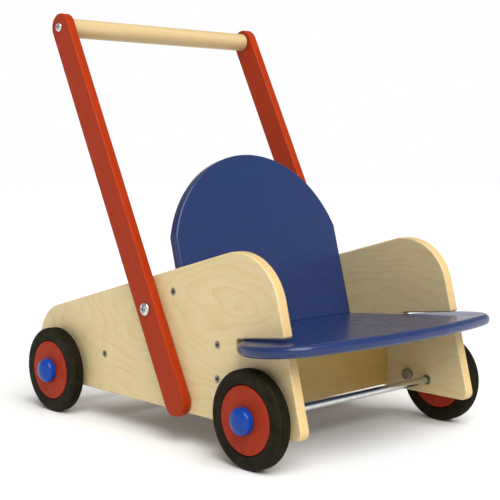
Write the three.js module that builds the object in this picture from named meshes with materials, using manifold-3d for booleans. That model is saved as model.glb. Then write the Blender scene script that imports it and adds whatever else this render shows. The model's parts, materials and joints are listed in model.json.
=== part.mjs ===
// Wooden walker cart with a seat, for a baby to push and to ride in.
// Two birch side boards are held apart by a tilted seat, a leaning backrest and two cross boards.
// A push rod on two flat arms stands behind, and four rubber-tyred wheels turn on two steel axles.
// Beside each front wheel a hand screw presses a felt pad on the wheel, to slow the walker down.
//
// Millimetres, +Z up, floor at Z = 0. The seat opens towards -Y, and the rod is at the +Y side.
// Left is -X and right is +X, as seen from the front. While it is built, Y = 0 is the front axle.
import * as THREE from "three";
import { mergeVertices } from "three/addons/utils/BufferGeometryUtils.js";
import Module from "manifold-3d";

const wasm = await Module();
wasm.setup();

// ---------------------------------------------------------------- driving dimensions
const CLEARANCE = 0.3; // between two pieces that touch
const BOARD = 12; // thickness of the boards and of the arms
const EDGE_ROUNDING = 2; // rounded edge of the other boards and of the arms
const SEAT_ROUNDING = 4; // rounder edge of the seat
const INNER_WIDTH = 250; // between the side boards

const WHEELBASE = 342;
const WHEEL_RADIUS = 50;
const TYRE_WIDTH = 16;
const TYRE_SHOULDER = 2.8; // how far the tread drops towards the sidewalls
const DISC_RADIUS = 34.5;
const DISC_PROUD = 0.4; // disc face beyond the tyre's sidewall
const RIM_RIDGE_HEIGHT = 1.5; // ridge round the disc that keeps the tyre on
const RIM_RIDGE_WIDTH = 7;
const AXLE_DIAMETER = 8;
const BUSH_WALL = 1.4;
const BUSH_PROUD = 1; // bush beyond each face of the side board
const SPACER_THICKNESS = 4;
const SPACER_WALL = 5;
const CAP_RADIUS = 14;
const CAP_HEIGHT = 12.5;
const CAP_SKIRT = 5; // straight part of the cap, below its dome
const CAP_CROWN = 3; // cap left closed beyond the axle's end
const AXLE_CHAMFER = 0.6;
const TURNED_CHAMFER = 1; // at the ends of the rod and dowels, and on the discs and caps

const SIDE_BELOW_AXLE = 16; // side board's lower edge, below the axles
const SIDE_FRONT_REACH = 58.5; // lower front corner, ahead of the front axle
const SIDE_REAR_REACH = 54; // rear end, behind the rear axle
const SIDE_FRONT_LEAN = 14.35; // degrees
const SIDE_REAR_RISE = 14.3; // upper rear corner, above the tyre
const NOSE_RISE = 99.8; // upper front corner, above the seat's top at the axle
const NOSE_RADIUS = 60;
const REAR_TOP_RADIUS = 50;
const REAR_FOOT_RADIUS = 25;
const FRONT_FOOT_RADIUS = 9;
const SLOT_CORNER = 3;
const SLOT_DEPTH_BEHIND_AXLE = 36.5;
const SLOT_FLARE = 1.8; // degrees that the slot opens up, more than the seat's tilt
const SLOT_HEADROOM = 1; // above the seat at the slot's closed end

const SEAT_ABOVE_TYRE = 13.2; // seat's underside above the front tyre, over the axle
const SEAT_TILT = 5; // degrees, front edge up
const SEAT_OVERHANG = 33; // past the outer face of each side board
const SEAT_FRONT_REACH = 92; // ahead of the front axle
const SEAT_ARCH_DROP = 17.5; // front corners behind the middle of the arched front edge
const SEAT_CORNER_RADIUS = 46;
const SEAT_EAR_FLAT = 4.4; // straight stretch at the widest part of each ear
const SEAT_DEPTH_BEHIND_AXLE = 131;

const BACK_LEAN = 15; // degrees from upright
const BACK_FOOT = 116.5; // front face on the seat, behind the front axle
const BACK_SHOULDER = 108; // straight sides, measured up the board
const BACK_HEIGHT = 198;
const BACK_SCREW_HEIGHT = 50; // up the board, of the screws from the sides
const BACK_SCREW_FROM_MIDDLE = 62; // of the screws up through the seat

const CROSS_BOARD_FRONT = 58.3; // front face, behind the front axle
const CROSS_BOARD_REAR = 87.6; // front face, ahead of the rear axle
const CROSS_BOARD_LIFT = 2; // lower edge above the side boards' lower edge
const CROSS_SCREW_HEIGHT = 42; // above the cross board's lower edge
const CROSS_DOWEL_HEIGHT = 15;

const ARM_WIDTH = 32;
const ARM_LEAN = 26.67; // degrees from upright
const ARM_FOOT = [120.9, 46.4]; // Y and Z of the centre of the arm's lower end
const ARM_LENGTH = 454.4; // between the centres of the two round ends
const ARM_BOLT_UP = 105.4; // up the arm from the lower centre
const ARM_SCREW_UP = 27;
const ROD_RADIUS = 11;

const BOARD_SCREW = { head: 4, shank: 2, length: 35 };
const ARM_SCREW = { head: 4, shank: 2, length: 21 };
const BACK_SCREW = { head: 4, shank: 2, length: 42 };
const HANDLE_SCREW = { head: 5.3, rise: 2.6, shank: 2.2, length: 50 };
const ARM_BOLT = { head: 7.3, rise: 3.4, shank: 3, length: 20.5 };
const ARM_NUT = { head: 7, rise: 2.4, shank: 4.6, length: 11.2 };
const DOWEL = { radius: 4, length: 30, inSide: 8 };
const HEAD_LAND = 0.4; // straight rim of a countersunk head

const BRAKE_BEHIND_AXLE = 25.9;
const BRAKE_ABOVE_AXLE = 3;
const BRAKE_SCREW = { head: 6.2, headLength: 5, shank: 3, chamfer: 0.8 };
const BRAKE_INSERT_RADIUS = 4.8;
const BRAKE_PAD = { radius: 7, thickness: 3.4, socket: 1.8 };
const BRAKE_TRAVEL = 0.8;
const BRAKE_LEFT_OPEN = 0.2; // between the pad and the wheel when it is screwed right in
const BRAKE_HEAD_STANDOFF = 0.5; // between the head and the side board when it is screwed right in

// ---------------------------------------------------------------- places that follow from them
const UP = new THREE.Vector3(0, 0, 1);
const RIGHT = new THREE.Vector3(1, 0, 0);
const SIDES = { left: -1, right: 1 };
const AXLES = { front: 0, rear: WHEELBASE };
const rad = THREE.MathUtils.degToRad;

const sideInner = INNER_WIDTH / 2;
const sideOuter = sideInner + BOARD;
const armInner = sideOuter + CLEARANCE;
const armOuter = armInner + BOARD;
const axleHeight = WHEEL_RADIUS;
const axleRadius = AXLE_DIAMETER / 2;
const axleBore = axleRadius + CLEARANCE;
const bushRadius = axleBore + BUSH_WALL;
const spacerInner = sideOuter + BUSH_PROUD + CLEARANCE;
const wheelInner = spacerInner + SPACER_THICKNESS + CLEARANCE;
const discOuter = wheelInner + TYRE_WIDTH + DISC_PROUD;
const capInner = discOuter + CLEARANCE;
const axleEnd = capInner + CAP_HEIGHT - CAP_CROWN - CLEARANCE;

const sideBottom = axleHeight - SIDE_BELOW_AXLE;
const sideRear = WHEELBASE + SIDE_REAR_REACH;
const seatSlope = Math.tan(rad(SEAT_TILT));
const seatDrop = BOARD / Math.cos(rad(SEAT_TILT)); // seat's thickness, measured upright
const seatTop = 2 * WHEEL_RADIUS + SEAT_ABOVE_TYRE + seatDrop; // over the front axle
const seatTopAt = (y) => seatTop - seatSlope * y;
const seatHalfWidth = sideOuter + SEAT_OVERHANG;
const seatScrewY = CROSS_BOARD_FRONT + BOARD / 2;
const crossBottom = sideBottom + CROSS_BOARD_LIFT;
const crossTop = seatTopAt(CROSS_BOARD_FRONT + BOARD) - seatDrop - CLEARANCE;
const betweenSides = INNER_WIDTH - 2 * CLEARANCE;
const rodHeight = ARM_FOOT[1] + ARM_LENGTH * Math.cos(rad(ARM_LEAN));
const rodY = ARM_FOOT[0] + ARM_LENGTH * Math.sin(rad(ARM_LEAN));

// Directions up the backrest and out of its front face, and a point a way up its middle.
const backUp = UP.clone().applyAxisAngle(RIGHT, -rad(BACK_LEAN));
const backFront = new THREE.Vector3(0, -1, 0).applyAxisAngle(RIGHT, -rad(BACK_LEAN));
const backFoot = new THREE.Vector3(0, BACK_FOOT, seatTopAt(BACK_FOOT));
const backMiddle = (up) =>
  backFoot.clone().addScaledVector(backUp, up).addScaledVector(backFront, -BOARD / 2);

// A point up the middle line of the arms.
function armPoint(up) {
  return [ARM_FOOT[0] + up * Math.sin(rad(ARM_LEAN)), ARM_FOOT[1] + up * Math.cos(rad(ARM_LEAN))];
}

// ---------------------------------------------------------------- materials
const material = (color, roughness, metalness = 0) => ({ color, roughness, metalness });
const BIRCH = material(0xd9c89d, 0.55);
const RED_PAINT = material(0xa63a24, 0.5);
const BLUE_PAINT = material(0x33436c, 0.45);
const BEECH = material(0xdec296, 0.5);
const RUBBER = material(0x24231f, 0.8);
const RED_DISC = material(0x983a2a, 0.6);
const BLUE_CAP = material(0x1f4fb8, 0.25);
const STEEL = material(0xb9bbb9, 0.25, 1);
const DARK_STEEL = material(0x6d6f70, 0.4, 1);
const NYLON = material(0x8d9095, 0.4);
const FELT = material(0x4a4a4c, 0.95);

// ---------------------------------------------------------------- solids
// A closed geometry as a solid that can be cut.
function solid(geometry) {
  const bare = geometry.clone();
  bare.deleteAttribute("normal");
  bare.deleteAttribute("uv");
  const merged = mergeVertices(bare, 1e-4);
  const mesh = new wasm.Mesh({
    numProp: 3,
    vertProperties: merged.attributes.position.array,
    triVerts: new Uint32Array(merged.index.array),
  });
  return new wasm.Manifold(mesh);
}

// The cut solid as a geometry with flat faces.
function geometryOf(body) {
  const mesh = body.getMesh();
  const geometry = new THREE.BufferGeometry();
  geometry.setAttribute("position", new THREE.BufferAttribute(mesh.vertProperties, 3));
  geometry.setIndex(new THREE.BufferAttribute(mesh.triVerts, 1));
  const flat = geometry.toNonIndexed();
  flat.computeVertexNormals();
  return flat;
}

function piece(name, geometry, look) {
  const mesh = new THREE.Mesh(geometry, new THREE.MeshStandardMaterial(look));
  mesh.name = name;
  return mesh;
}

// Cuts a placed piece with placed tools that may reach beyond it.
function bore(mesh, tools) {
  mesh.updateMatrix();
  const intoMesh = mesh.matrix.clone().invert();
  let body = solid(mesh.geometry);
  for (const tool of tools) {
    tool.updateMatrix();
    const cutter = tool.geometry.clone().applyMatrix4(tool.matrix).applyMatrix4(intoMesh);
    body = body.subtract(solid(cutter));
  }
  mesh.geometry = geometryOf(body);
  return mesh;
}

// A round solid about Y from a profile of [radius, height] points. The profile starts and ends
// on the axis, or it is a ring and is closed here.
function turned(profile, sides) {
  const points = profile.map(([radius, height]) => new THREE.Vector2(radius, height));
  if (points[0].x > 0) points.push(points[0].clone());
  if (THREE.ShapeUtils.area(points) < 0) points.reverse();
  return new THREE.LatheGeometry(points, sides);
}

// A turned piece whose axis starts at a point and goes along a direction.
function turnedPiece(name, profile, sides, look, start, direction) {
  const mesh = piece(name, turned(profile, sides), look);
  mesh.position.copy(start);
  mesh.quaternion.setFromUnitVectors(new THREE.Vector3(0, 1, 0), direction);
  return mesh;
}

// A closed outline through corners [across, up, radius], each rounded by an arc.
function roundedOutline(corners) {
  const shape = new THREE.Shape();
  corners.forEach(([across, up, radius], i) => {
    const corner = new THREE.Vector2(across, up);
    const [before, after] = [corners.at(i - 1), corners[(i + 1) % corners.length]].map(([a, b]) =>
      new THREE.Vector2(a, b).sub(corner).normalize(),
    );
    const half = Math.acos(before.dot(after)) / 2;
    const middle = before.clone().add(after).normalize();
    const centre = corner.clone().addScaledVector(middle, radius / Math.sin(half));
    const [from, to] = [before, after].map((way) =>
      corner.clone().addScaledVector(way, radius / Math.tan(half)).sub(centre).angle(),
    );
    shape.absarc(centre.x, centre.y, radius, from, to, before.cross(after) > 0);
  });
  return shape;
}

// A board from an outline of its true size, with rounded edges, from 0 to its thickness.
function boardFrom(outline, rounding, curveSegments) {
  const geometry = new THREE.ExtrudeGeometry(outline, {
    depth: BOARD - 2 * rounding,
    bevelThickness: rounding,
    bevelSize: rounding,
    bevelOffset: -rounding,
    bevelSegments: Math.ceil(rounding / 2),
    curveSegments,
  });
  return geometry.translate(0, 0, rounding);
}

// The same board turned to stand along Y and Z, its thickness centred on X = 0.
function uprightBoard(outline, rounding, curveSegments) {
  const turn = new THREE.Matrix4().makeBasis(new THREE.Vector3(0, 1, 0), UP, RIGHT);
  return boardFrom(outline, rounding, curveSegments)
    .translate(0, 0, -BOARD / 2)
    .applyMatrix4(turn);
}

// ---------------------------------------------------------------- fasteners
// Each profile runs from the face that the fastener goes in by, and can be grown for its hole.
function countersunkProfile({ head, shank, length }, grow = 0) {
  return [
    [0, -3 * grow],
    [head + grow, -3 * grow],
    [head + grow, HEAD_LAND + grow / 2],
    [shank + grow, head - shank + HEAD_LAND + grow],
    [shank + grow, length - shank + grow],
    [0, length + grow],
  ];
}

function domedProfile({ head, rise, shank, length }, grow = 0) {
  return [
    [0, -rise - grow],
    [head * 0.45 + grow, -rise * 0.88 - grow],
    [head * 0.8 + grow, -rise * 0.55 - grow],
    [head + grow, -rise * 0.1 - grow],
    [head + grow, 0],
    [shank + grow, 0],
    [shank + grow, length + grow],
    [0, length + grow],
  ];
}

function dowelProfile({ radius, length }, grow = 0) {
  return [
    [0, -grow],
    [radius - TURNED_CHAMFER + grow, -grow],
    [radius + grow, TURNED_CHAMFER - grow],
    [radius + grow, length - TURNED_CHAMFER + grow],
    [radius - TURNED_CHAMFER + grow, length + grow],
    [0, length + grow],
  ];
}

// A fastener with the tool that cuts its hole.
function fastener(name, profileOf, spec, look, start, direction, standoff = 0) {
  const sides = 12;
  const from = start.clone().addScaledVector(direction, -standoff);
  return {
    mesh: turnedPiece(name, profileOf(spec), sides, look, from, direction),
    tool: turnedPiece(name, profileOf(spec, CLEARANCE), sides, look, start, direction),
  };
}

const inward = (side) => new THREE.Vector3(-side, 0, 0);
const outward = (side) => new THREE.Vector3(side, 0, 0);

// Screws through a side board into the boards between, sunk flush with its outer face.
function boardScrews(sideName, side) {
  const backScrew = backMiddle(BACK_SCREW_HEIGHT);
  const places = {
    backrest_screw: [backScrew.y, backScrew.z],
    seat_screw: [seatScrewY, seatTopAt(seatScrewY) - seatDrop / 2],
    front_board_screw: [CROSS_BOARD_FRONT + BOARD / 2, crossBottom + CROSS_SCREW_HEIGHT],
    rear_board_screw: [WHEELBASE - CROSS_BOARD_REAR + BOARD / 2, crossBottom + CROSS_SCREW_HEIGHT],
  };
  return Object.entries(places).map(([name, [y, z]]) => {
    const start = new THREE.Vector3(side * sideOuter, y, z);
    const fullName = `${name}_${sideName}`;
    return fastener(fullName, countersunkProfile, BOARD_SCREW, STEEL, start, inward(side));
  });
}

// Beech dowels, blind in the side board, that keep the cross boards from turning on their screws.
function crossDowels(sideName, side) {
  const places = { front: CROSS_BOARD_FRONT, rear: WHEELBASE - CROSS_BOARD_REAR };
  return Object.entries(places).map(([name, front]) => {
    const z = crossBottom + CROSS_DOWEL_HEIGHT;
    const start = new THREE.Vector3(side * (sideInner + DOWEL.inSide), front + BOARD / 2, z);
    return fastener(`${name}_board_dowel_${sideName}`, dowelProfile, DOWEL, BEECH, start, inward(side));
  });
}

// The arm's bolt and its sleeve nut, and the screw from inside that stops the arm from swinging.
function armFasteners(sideName, side) {
  const [boltY, boltZ] = armPoint(ARM_BOLT_UP);
  const [screwY, screwZ] = armPoint(ARM_SCREW_UP);
  const outside = new THREE.Vector3(side * armOuter, boltY, boltZ);
  const inside = new THREE.Vector3(side * sideInner, boltY, boltZ);
  const low = new THREE.Vector3(side * sideInner, screwY, screwZ);
  const top = new THREE.Vector3(side * armOuter, rodY, rodHeight);
  return {
    bolt: fastener(`arm_bolt_${sideName}`, domedProfile, ARM_BOLT, STEEL, outside, inward(side), CLEARANCE),
    nut: fastener(`arm_nut_${sideName}`, domedProfile, ARM_NUT, STEEL, inside, outward(side), CLEARANCE),
    low: fastener(`arm_screw_${sideName}`, countersunkProfile, ARM_SCREW, STEEL, low, outward(side)),
    rod: fastener(`handle_screw_${sideName}`, domedProfile, HANDLE_SCREW, STEEL, top, inward(side), CLEARANCE),
  };
}

// Two screws up through the seat into the foot of the backrest.
function backFootScrews() {
  const middle = backMiddle(0);
  const aboveUnderside = middle.z - seatTopAt(middle.y) + seatDrop;
  const down = aboveUnderside / (backUp.z + seatSlope * backUp.y);
  return Object.entries(SIDES).map(([sideName, side]) => {
    const start = backMiddle(-down);
    start.x = side * BACK_SCREW_FROM_MIDDLE;
    return fastener(`back_foot_screw_${sideName}`, countersunkProfile, BACK_SCREW, STEEL, start, backUp);
  });
}

// ---------------------------------------------------------------- boards
// Where a line of a given height over the front axle and slope meets the side board's front edge.
function onFrontEdge(height, slope) {
  const lean = Math.tan(rad(SIDE_FRONT_LEAN));
  const y = (-SIDE_FRONT_REACH + lean * (height - sideBottom)) / (1 - lean * slope);
  return [y, height + slope * y];
}

function sideOutline() {
  const slotBottom = seatTop - seatDrop - CLEARANCE;
  const slotSlope = -Math.tan(rad(SEAT_TILT + SLOT_FLARE));
  const slotEndTop = seatTopAt(SLOT_DEPTH_BEHIND_AXLE) + SLOT_HEADROOM;
  const slotTop = slotEndTop - slotSlope * SLOT_DEPTH_BEHIND_AXLE;
  const slotEndBottom = slotBottom - seatSlope * SLOT_DEPTH_BEHIND_AXLE;
  return roundedOutline([
    [-SIDE_FRONT_REACH, sideBottom, FRONT_FOOT_RADIUS],
    [sideRear, sideBottom, REAR_FOOT_RADIUS],
    [sideRear, 2 * WHEEL_RADIUS + SIDE_REAR_RISE, REAR_TOP_RADIUS],
    [...onFrontEdge(seatTop + NOSE_RISE, 0), NOSE_RADIUS],
    [...onFrontEdge(slotTop, slotSlope), SLOT_CORNER],
    [SLOT_DEPTH_BEHIND_AXLE, slotEndTop, SLOT_CORNER],
    [SLOT_DEPTH_BEHIND_AXLE, slotEndBottom, SLOT_CORNER],
    [...onFrontEdge(slotBottom, -seatSlope), SLOT_CORNER],
  ]);
}

function sideBoard(sideName, side) {
  const board = piece(`side_board_${sideName}`, uprightBoard(sideOutline(), EDGE_ROUNDING, 6), BIRCH);
  board.position.x = side * (sideInner + BOARD / 2);
  return board;
}

// Seat outline from above: an arched front, round ears outside the side boards, a plain back.
function seatOutline() {
  const shape = new THREE.Shape();
  const narrow = sideInner - CLEARANCE;
  const cornerX = seatHalfWidth - SEAT_CORNER_RADIUS;
  const cornerDepth = SEAT_ARCH_DROP + SEAT_CORNER_RADIUS;
  const cornerY = cornerDepth - SEAT_FRONT_REACH;
  // The front arc passes the front's middle and runs into both corner arcs.
  const archRadius =
    (cornerX ** 2 + cornerDepth ** 2 - SEAT_CORNER_RADIUS ** 2) / (2 * SEAT_ARCH_DROP);
  const archY = archRadius - SEAT_FRONT_REACH;
  const arch = Math.atan2(cornerX, archY - cornerY);
  const earY = cornerY + SEAT_EAR_FLAT;
  const earRadius = SLOT_DEPTH_BEHIND_AXLE - 2 * CLEARANCE - earY;
  const earX = seatHalfWidth - earRadius;
  const earEnd = Math.acos((narrow - earX) / earRadius);
  const down = -Math.PI / 2;
  shape.absarc(0, archY, archRadius, down - arch, down + arch, false);
  shape.absarc(cornerX, cornerY, SEAT_CORNER_RADIUS, down + arch, 0, false);
  shape.absarc(earX, earY, earRadius, 0, earEnd, false);
  shape.lineTo(narrow, SEAT_DEPTH_BEHIND_AXLE);
  shape.lineTo(-narrow, SEAT_DEPTH_BEHIND_AXLE);
  shape.absarc(-earX, earY, earRadius, Math.PI - earEnd, Math.PI, false);
  shape.absarc(-cornerX, cornerY, SEAT_CORNER_RADIUS, Math.PI, Math.PI * 1.5 - arch, false);
  return shape;
}

function seatBoard() {
  const seat = piece("seat_board", boardFrom(seatOutline(), SEAT_ROUNDING, 8), BLUE_PAINT);
  seat.geometry.translate(0, 0, -BOARD);
  seat.position.z = seatTop;
  seat.rotation.x = -rad(SEAT_TILT);
  return seat;
}

// Backrest outline from its front: straight sides up to the shoulders, then one arc over the top.
function backOutline() {
  const half = betweenSides / 2;
  const rise = BACK_HEIGHT - BACK_SHOULDER;
  const radius = (half ** 2 + rise ** 2) / (2 * rise);
  const centre = BACK_HEIGHT - radius;
  const end = Math.atan2(BACK_SHOULDER - centre, half);
  const shape = new THREE.Shape();
  shape.moveTo(-half, -BOARD);
  shape.lineTo(half, -BOARD);
  shape.absarc(0, centre, radius, end, Math.PI - end, false);
  return shape;
}

// A slab that fills all the room under a plane a clearance above the seat.
function underSeatTop() {
  const slab = new THREE.BoxGeometry(2 * INNER_WIDTH, 4 * BACK_FOOT, 4 * BOARD);
  const tool = piece("seat_plane", slab.translate(0, 0, CLEARANCE - 2 * BOARD), BLUE_PAINT);
  tool.position.z = seatTop;
  tool.rotation.x = -rad(SEAT_TILT);
  return tool;
}

function backBoard() {
  const board = piece("backrest_board", boardFrom(backOutline(), EDGE_ROUNDING, 28), BLUE_PAINT);
  board.geometry.translate(0, 0, -BOARD);
  board.position.copy(backFoot);
  board.rotation.x = Math.PI / 2 - rad(BACK_LEAN);
  return board;
}

function crossBoard(name, front) {
  const half = betweenSides / 2;
  const outline = new THREE.Shape();
  outline.moveTo(-half, crossBottom);
  outline.lineTo(half, crossBottom);
  outline.lineTo(half, crossTop);
  outline.lineTo(-half, crossTop);
  const board = piece(`${name}_cross_board`, boardFrom(outline, EDGE_ROUNDING / 2, 1), BIRCH);
  board.rotation.x = Math.PI / 2;
  board.position.y = front + BOARD;
  return board;
}

// ---------------------------------------------------------------- handle
function pushArm(sideName, side) {
  const half = ARM_WIDTH / 2;
  const outline = new THREE.Shape();
  outline.absarc(0, 0, half, Math.PI, 2 * Math.PI, false);
  outline.absarc(0, ARM_LENGTH, half, 0, Math.PI, false);
  const arm = piece(`push_arm_${sideName}`, uprightBoard(outline, EDGE_ROUNDING, 8), RED_PAINT);
  arm.position.set(side * (armInner + BOARD / 2), ...ARM_FOOT);
  arm.rotation.x = -rad(ARM_LEAN);
  return arm;
}

function handleRod() {
  const half = armInner - CLEARANCE;
  const profile = [
    [0, -half],
    [ROD_RADIUS - TURNED_CHAMFER, -half],
    [ROD_RADIUS, TURNED_CHAMFER - half],
    [ROD_RADIUS, half - TURNED_CHAMFER],
    [ROD_RADIUS - TURNED_CHAMFER, half],
    [0, half],
  ];
  const middle = new THREE.Vector3(0, rodY, rodHeight);
  return turnedPiece("handle_rod", profile, 24, BEECH, middle, RIGHT);
}

// ---------------------------------------------------------------- wheels and axles
// A ring or round solid of a profile of [radius, distance out from the middle plane] points.
function alongAxle(name, profile, sides, look, axle, side) {
  const centre = new THREE.Vector3(0, AXLES[axle], axleHeight);
  return turnedPiece(name, profile, sides, look, centre, outward(side));
}

function axleRod(axle) {
  const profile = [
    [0, -axleEnd],
    [axleRadius - AXLE_CHAMFER, -axleEnd],
    [axleRadius, AXLE_CHAMFER - axleEnd],
    [axleRadius, axleEnd - AXLE_CHAMFER],
    [axleRadius - AXLE_CHAMFER, axleEnd],
    [0, axleEnd],
  ];
  return alongAxle(`${axle}_axle`, profile, 16, STEEL, axle, 1);
}

function bushProfile(grow = 0) {
  return [
    [axleBore - grow, sideInner - BUSH_PROUD],
    [bushRadius + grow, sideInner - BUSH_PROUD],
    [bushRadius + grow, sideOuter + BUSH_PROUD],
    [axleBore - grow, sideOuter + BUSH_PROUD],
  ];
}

function spacerProfile() {
  const radius = axleBore + SPACER_WALL;
  return [
    [axleBore, spacerInner],
    [radius, spacerInner],
    [radius, spacerInner + SPACER_THICKNESS],
    [axleBore, spacerInner + SPACER_THICKNESS],
  ];
}

// Half-widths of the ridge round the disc, from the middle plane of the tyre, at foot and top.
const tyreMiddle = wheelInner + TYRE_WIDTH / 2;
const ridgeFoot = RIM_RIDGE_WIDTH / 2;
const ridgeTop = ridgeFoot - RIM_RIDGE_HEIGHT / 2;

function discProfile() {
  return [
    [axleBore, wheelInner],
    [DISC_RADIUS, wheelInner],
    [DISC_RADIUS, tyreMiddle - ridgeFoot],
    [DISC_RADIUS + RIM_RIDGE_HEIGHT, tyreMiddle - ridgeTop],
    [DISC_RADIUS + RIM_RIDGE_HEIGHT, tyreMiddle + ridgeTop],
    [DISC_RADIUS, tyreMiddle + ridgeFoot],
    [DISC_RADIUS, discOuter - TURNED_CHAMFER],
    [DISC_RADIUS - TURNED_CHAMFER, discOuter],
    [axleBore, discOuter],
  ];
}

function tyreProfile() {
  const seat = DISC_RADIUS + CLEARANCE;
  const groove = seat + RIM_RIDGE_HEIGHT;
  const half = TYRE_WIDTH / 2;
  const shoulder = WHEEL_RADIUS - TYRE_SHOULDER;
  const outer = [
    [seat, half],
    [shoulder, half - 0.4],
    [WHEEL_RADIUS - TYRE_SHOULDER / 3, half - 1.6],
    [WHEEL_RADIUS, half - 4],
  ];
  const inner = [
    [groove, ridgeTop + CLEARANCE],
    [seat, ridgeFoot + CLEARANCE],
  ];
  const upper = [...inner, ...outer];
  const lower = upper.map(([radius, out]) => [radius, -out]).reverse();
  return [...upper, ...lower].map(([radius, out]) => [radius, tyreMiddle + out]);
}

// Push-on cap: a straight skirt, a dome, and a blind bore that grips the axle's end.
function capProfile() {
  const skirt = capInner + CAP_SKIRT;
  const dome = CAP_HEIGHT - CAP_SKIRT;
  const profile = [
    [axleBore, axleEnd + CLEARANCE],
    [axleBore, capInner],
    [CAP_RADIUS - TURNED_CHAMFER, capInner],
    [CAP_RADIUS, capInner + TURNED_CHAMFER],
  ];
  const steps = 4;
  for (let step = 0; step < steps; step++) {
    const angle = ((Math.PI / 2) * step) / steps;
    profile.push([CAP_RADIUS * Math.cos(angle), skirt + dome * Math.sin(angle)]);
  }
  return [[0, axleEnd + CLEARANCE], ...profile, [0, skirt + dome]];
}

function wheelPieces(axle, sideName, side) {
  const corner = `${axle}_${sideName}`;
  return [
    alongAxle(`tyre_${corner}`, tyreProfile(), 28, RUBBER, axle, side),
    alongAxle(`wheel_disc_${corner}`, discProfile(), 28, RED_DISC, axle, side),
    alongAxle(`wheel_spacer_${corner}`, spacerProfile(), 16, NYLON, axle, side),
    alongAxle(`hub_cap_${corner}`, capProfile(), 16, BLUE_CAP, axle, side),
    alongAxle(`axle_bush_${corner}`, bushProfile(), 16, NYLON, axle, side),
  ];
}

// ---------------------------------------------------------------- brake beside a front wheel
function brake(sideName, side) {
  const padOuter = wheelInner - BRAKE_LEFT_OPEN - BRAKE_TRAVEL;
  const padInner = padOuter - BRAKE_PAD.thickness;
  const headOuter = sideInner - BRAKE_HEAD_STANDOFF - BRAKE_TRAVEL;
  const { radius } = BRAKE_PAD;
  const { head, headLength, shank, chamfer } = BRAKE_SCREW;
  const tip = padInner + BRAKE_PAD.socket - CLEARANCE;
  const socket = shank + CLEARANCE;
  const screwProfile = [
    [0, headOuter - headLength],
    [head - chamfer, headOuter - headLength],
    [head, headOuter - headLength + chamfer],
    [head, headOuter],
    [shank, headOuter],
    [shank, tip],
    [0, tip],
  ];
  const padProfile = [
    [0, padInner + BRAKE_PAD.socket],
    [socket, padInner + BRAKE_PAD.socket],
    [socket, padInner],
    [radius, padInner],
    [radius, padOuter],
    [0, padOuter],
  ];
  const insertProfile = (grow = 0) => [
    [shank + CLEARANCE - grow, sideInner + CLEARANCE - grow],
    [BRAKE_INSERT_RADIUS + grow, sideInner + CLEARANCE - grow],
    [BRAKE_INSERT_RADIUS + grow, sideOuter - CLEARANCE + grow],
    [shank + CLEARANCE - grow, sideOuter - CLEARANCE + grow],
  ];
  const centre = new THREE.Vector3(0, BRAKE_BEHIND_AXLE, axleHeight + BRAKE_ABOVE_AXLE);
  const made = (name, profile, look) =>
    turnedPiece(`${name}_${sideName}`, profile, 16, look, centre, outward(side));
  return {
    meshes: [
      made("brake_screw", screwProfile, DARK_STEEL),
      made("brake_pad", padProfile, FELT),
      made("brake_insert", insertProfile(), STEEL),
    ],
    tool: made("brake_hole", throughHole(BRAKE_INSERT_RADIUS + CLEARANCE), STEEL),
  };
}

// A plain round tool through a side board, on the outward axis.
function throughHole(radius) {
  const past = 5;
  return [
    [0, sideInner - past],
    [radius, sideInner - past],
    [radius, sideOuter + past],
    [0, sideOuter + past],
  ];
}

// ---------------------------------------------------------------- assembly
const walker = new THREE.Group();
const frame = new THREE.Group();
walker.add(frame);

const footScrews = backFootScrews();
const crossBoards = {
  front: crossBoard("front", CROSS_BOARD_FRONT),
  rear: crossBoard("rear", WHEELBASE - CROSS_BOARD_REAR),
};
const seat = seatBoard();
const backrest = backBoard();
const rod = handleRod();
const sideTools = [];
const rodTools = [];

for (const [sideName, side] of Object.entries(SIDES)) {
  const screws = [...boardScrews(sideName, side), ...crossDowels(sideName, side)];
  const { bolt, nut, low, rod: rodScrew } = armFasteners(sideName, side);
  const { meshes: brakeMeshes, tool: brakeHole } = brake(sideName, side);
  const bushHoles = Object.keys(AXLES).map((axle) =>
    alongAxle("bush_hole", throughHole(bushRadius + CLEARANCE), 16, NYLON, axle, side),
  );
  const screwTools = screws.map(({ tool }) => tool);
  const armTools = [bolt.tool, nut.tool, low.tool];
  sideTools.push(...screwTools);
  rodTools.push(rodScrew.tool);
  frame.add(
    bore(sideBoard(sideName, side), [...screwTools, ...bushHoles, ...armTools, brakeHole]),
    bore(pushArm(sideName, side), [bolt.tool, low.tool, rodScrew.tool]),
    bore(nut.mesh, [bolt.tool]),
    ...brakeMeshes,
    ...[...screws, bolt, low, rodScrew].map(({ mesh }) => mesh),
  );
  for (const axle of Object.keys(AXLES)) frame.add(...wheelPieces(axle, sideName, side));
}

const footTools = footScrews.map(({ tool }) => tool);
frame.add(
  bore(seat, [...sideTools, ...footTools]),
  bore(backrest, [underSeatTop(), ...sideTools, ...footTools]),
  bore(crossBoards.front, sideTools),
  bore(crossBoards.rear, sideTools),
  bore(rod, rodTools),
  ...footScrews.map(({ mesh }) => mesh),
  ...Object.keys(AXLES).map(axleRod),
);

// The origin is on the floor, under the middle of the whole walker.
const seatEdgeLow = BOARD - SEAT_ROUNDING;
const seatNose = SEAT_FRONT_REACH * Math.cos(rad(SEAT_TILT)) + seatEdgeLow * Math.sin(rad(SEAT_TILT));
frame.position.y = (seatNose - sideRear) / 2;

export default walker;
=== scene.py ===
"""Wooden walker cart with a seat: birch side boards, blue seat and backrest, red push arms, rubber tyres.

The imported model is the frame. Each piece that shows is built again here with round edges, at the place and
size of its node, and gets a procedural material. Metres, +Z up, and the seat opens towards -Y.
"""

import json
import math

import bmesh
import bpy
import numpy as np
from bpy.props import FloatProperty, FloatVectorProperty, PointerProperty
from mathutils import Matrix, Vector
from mathutils.geometry import tessellate_polygon

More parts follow.
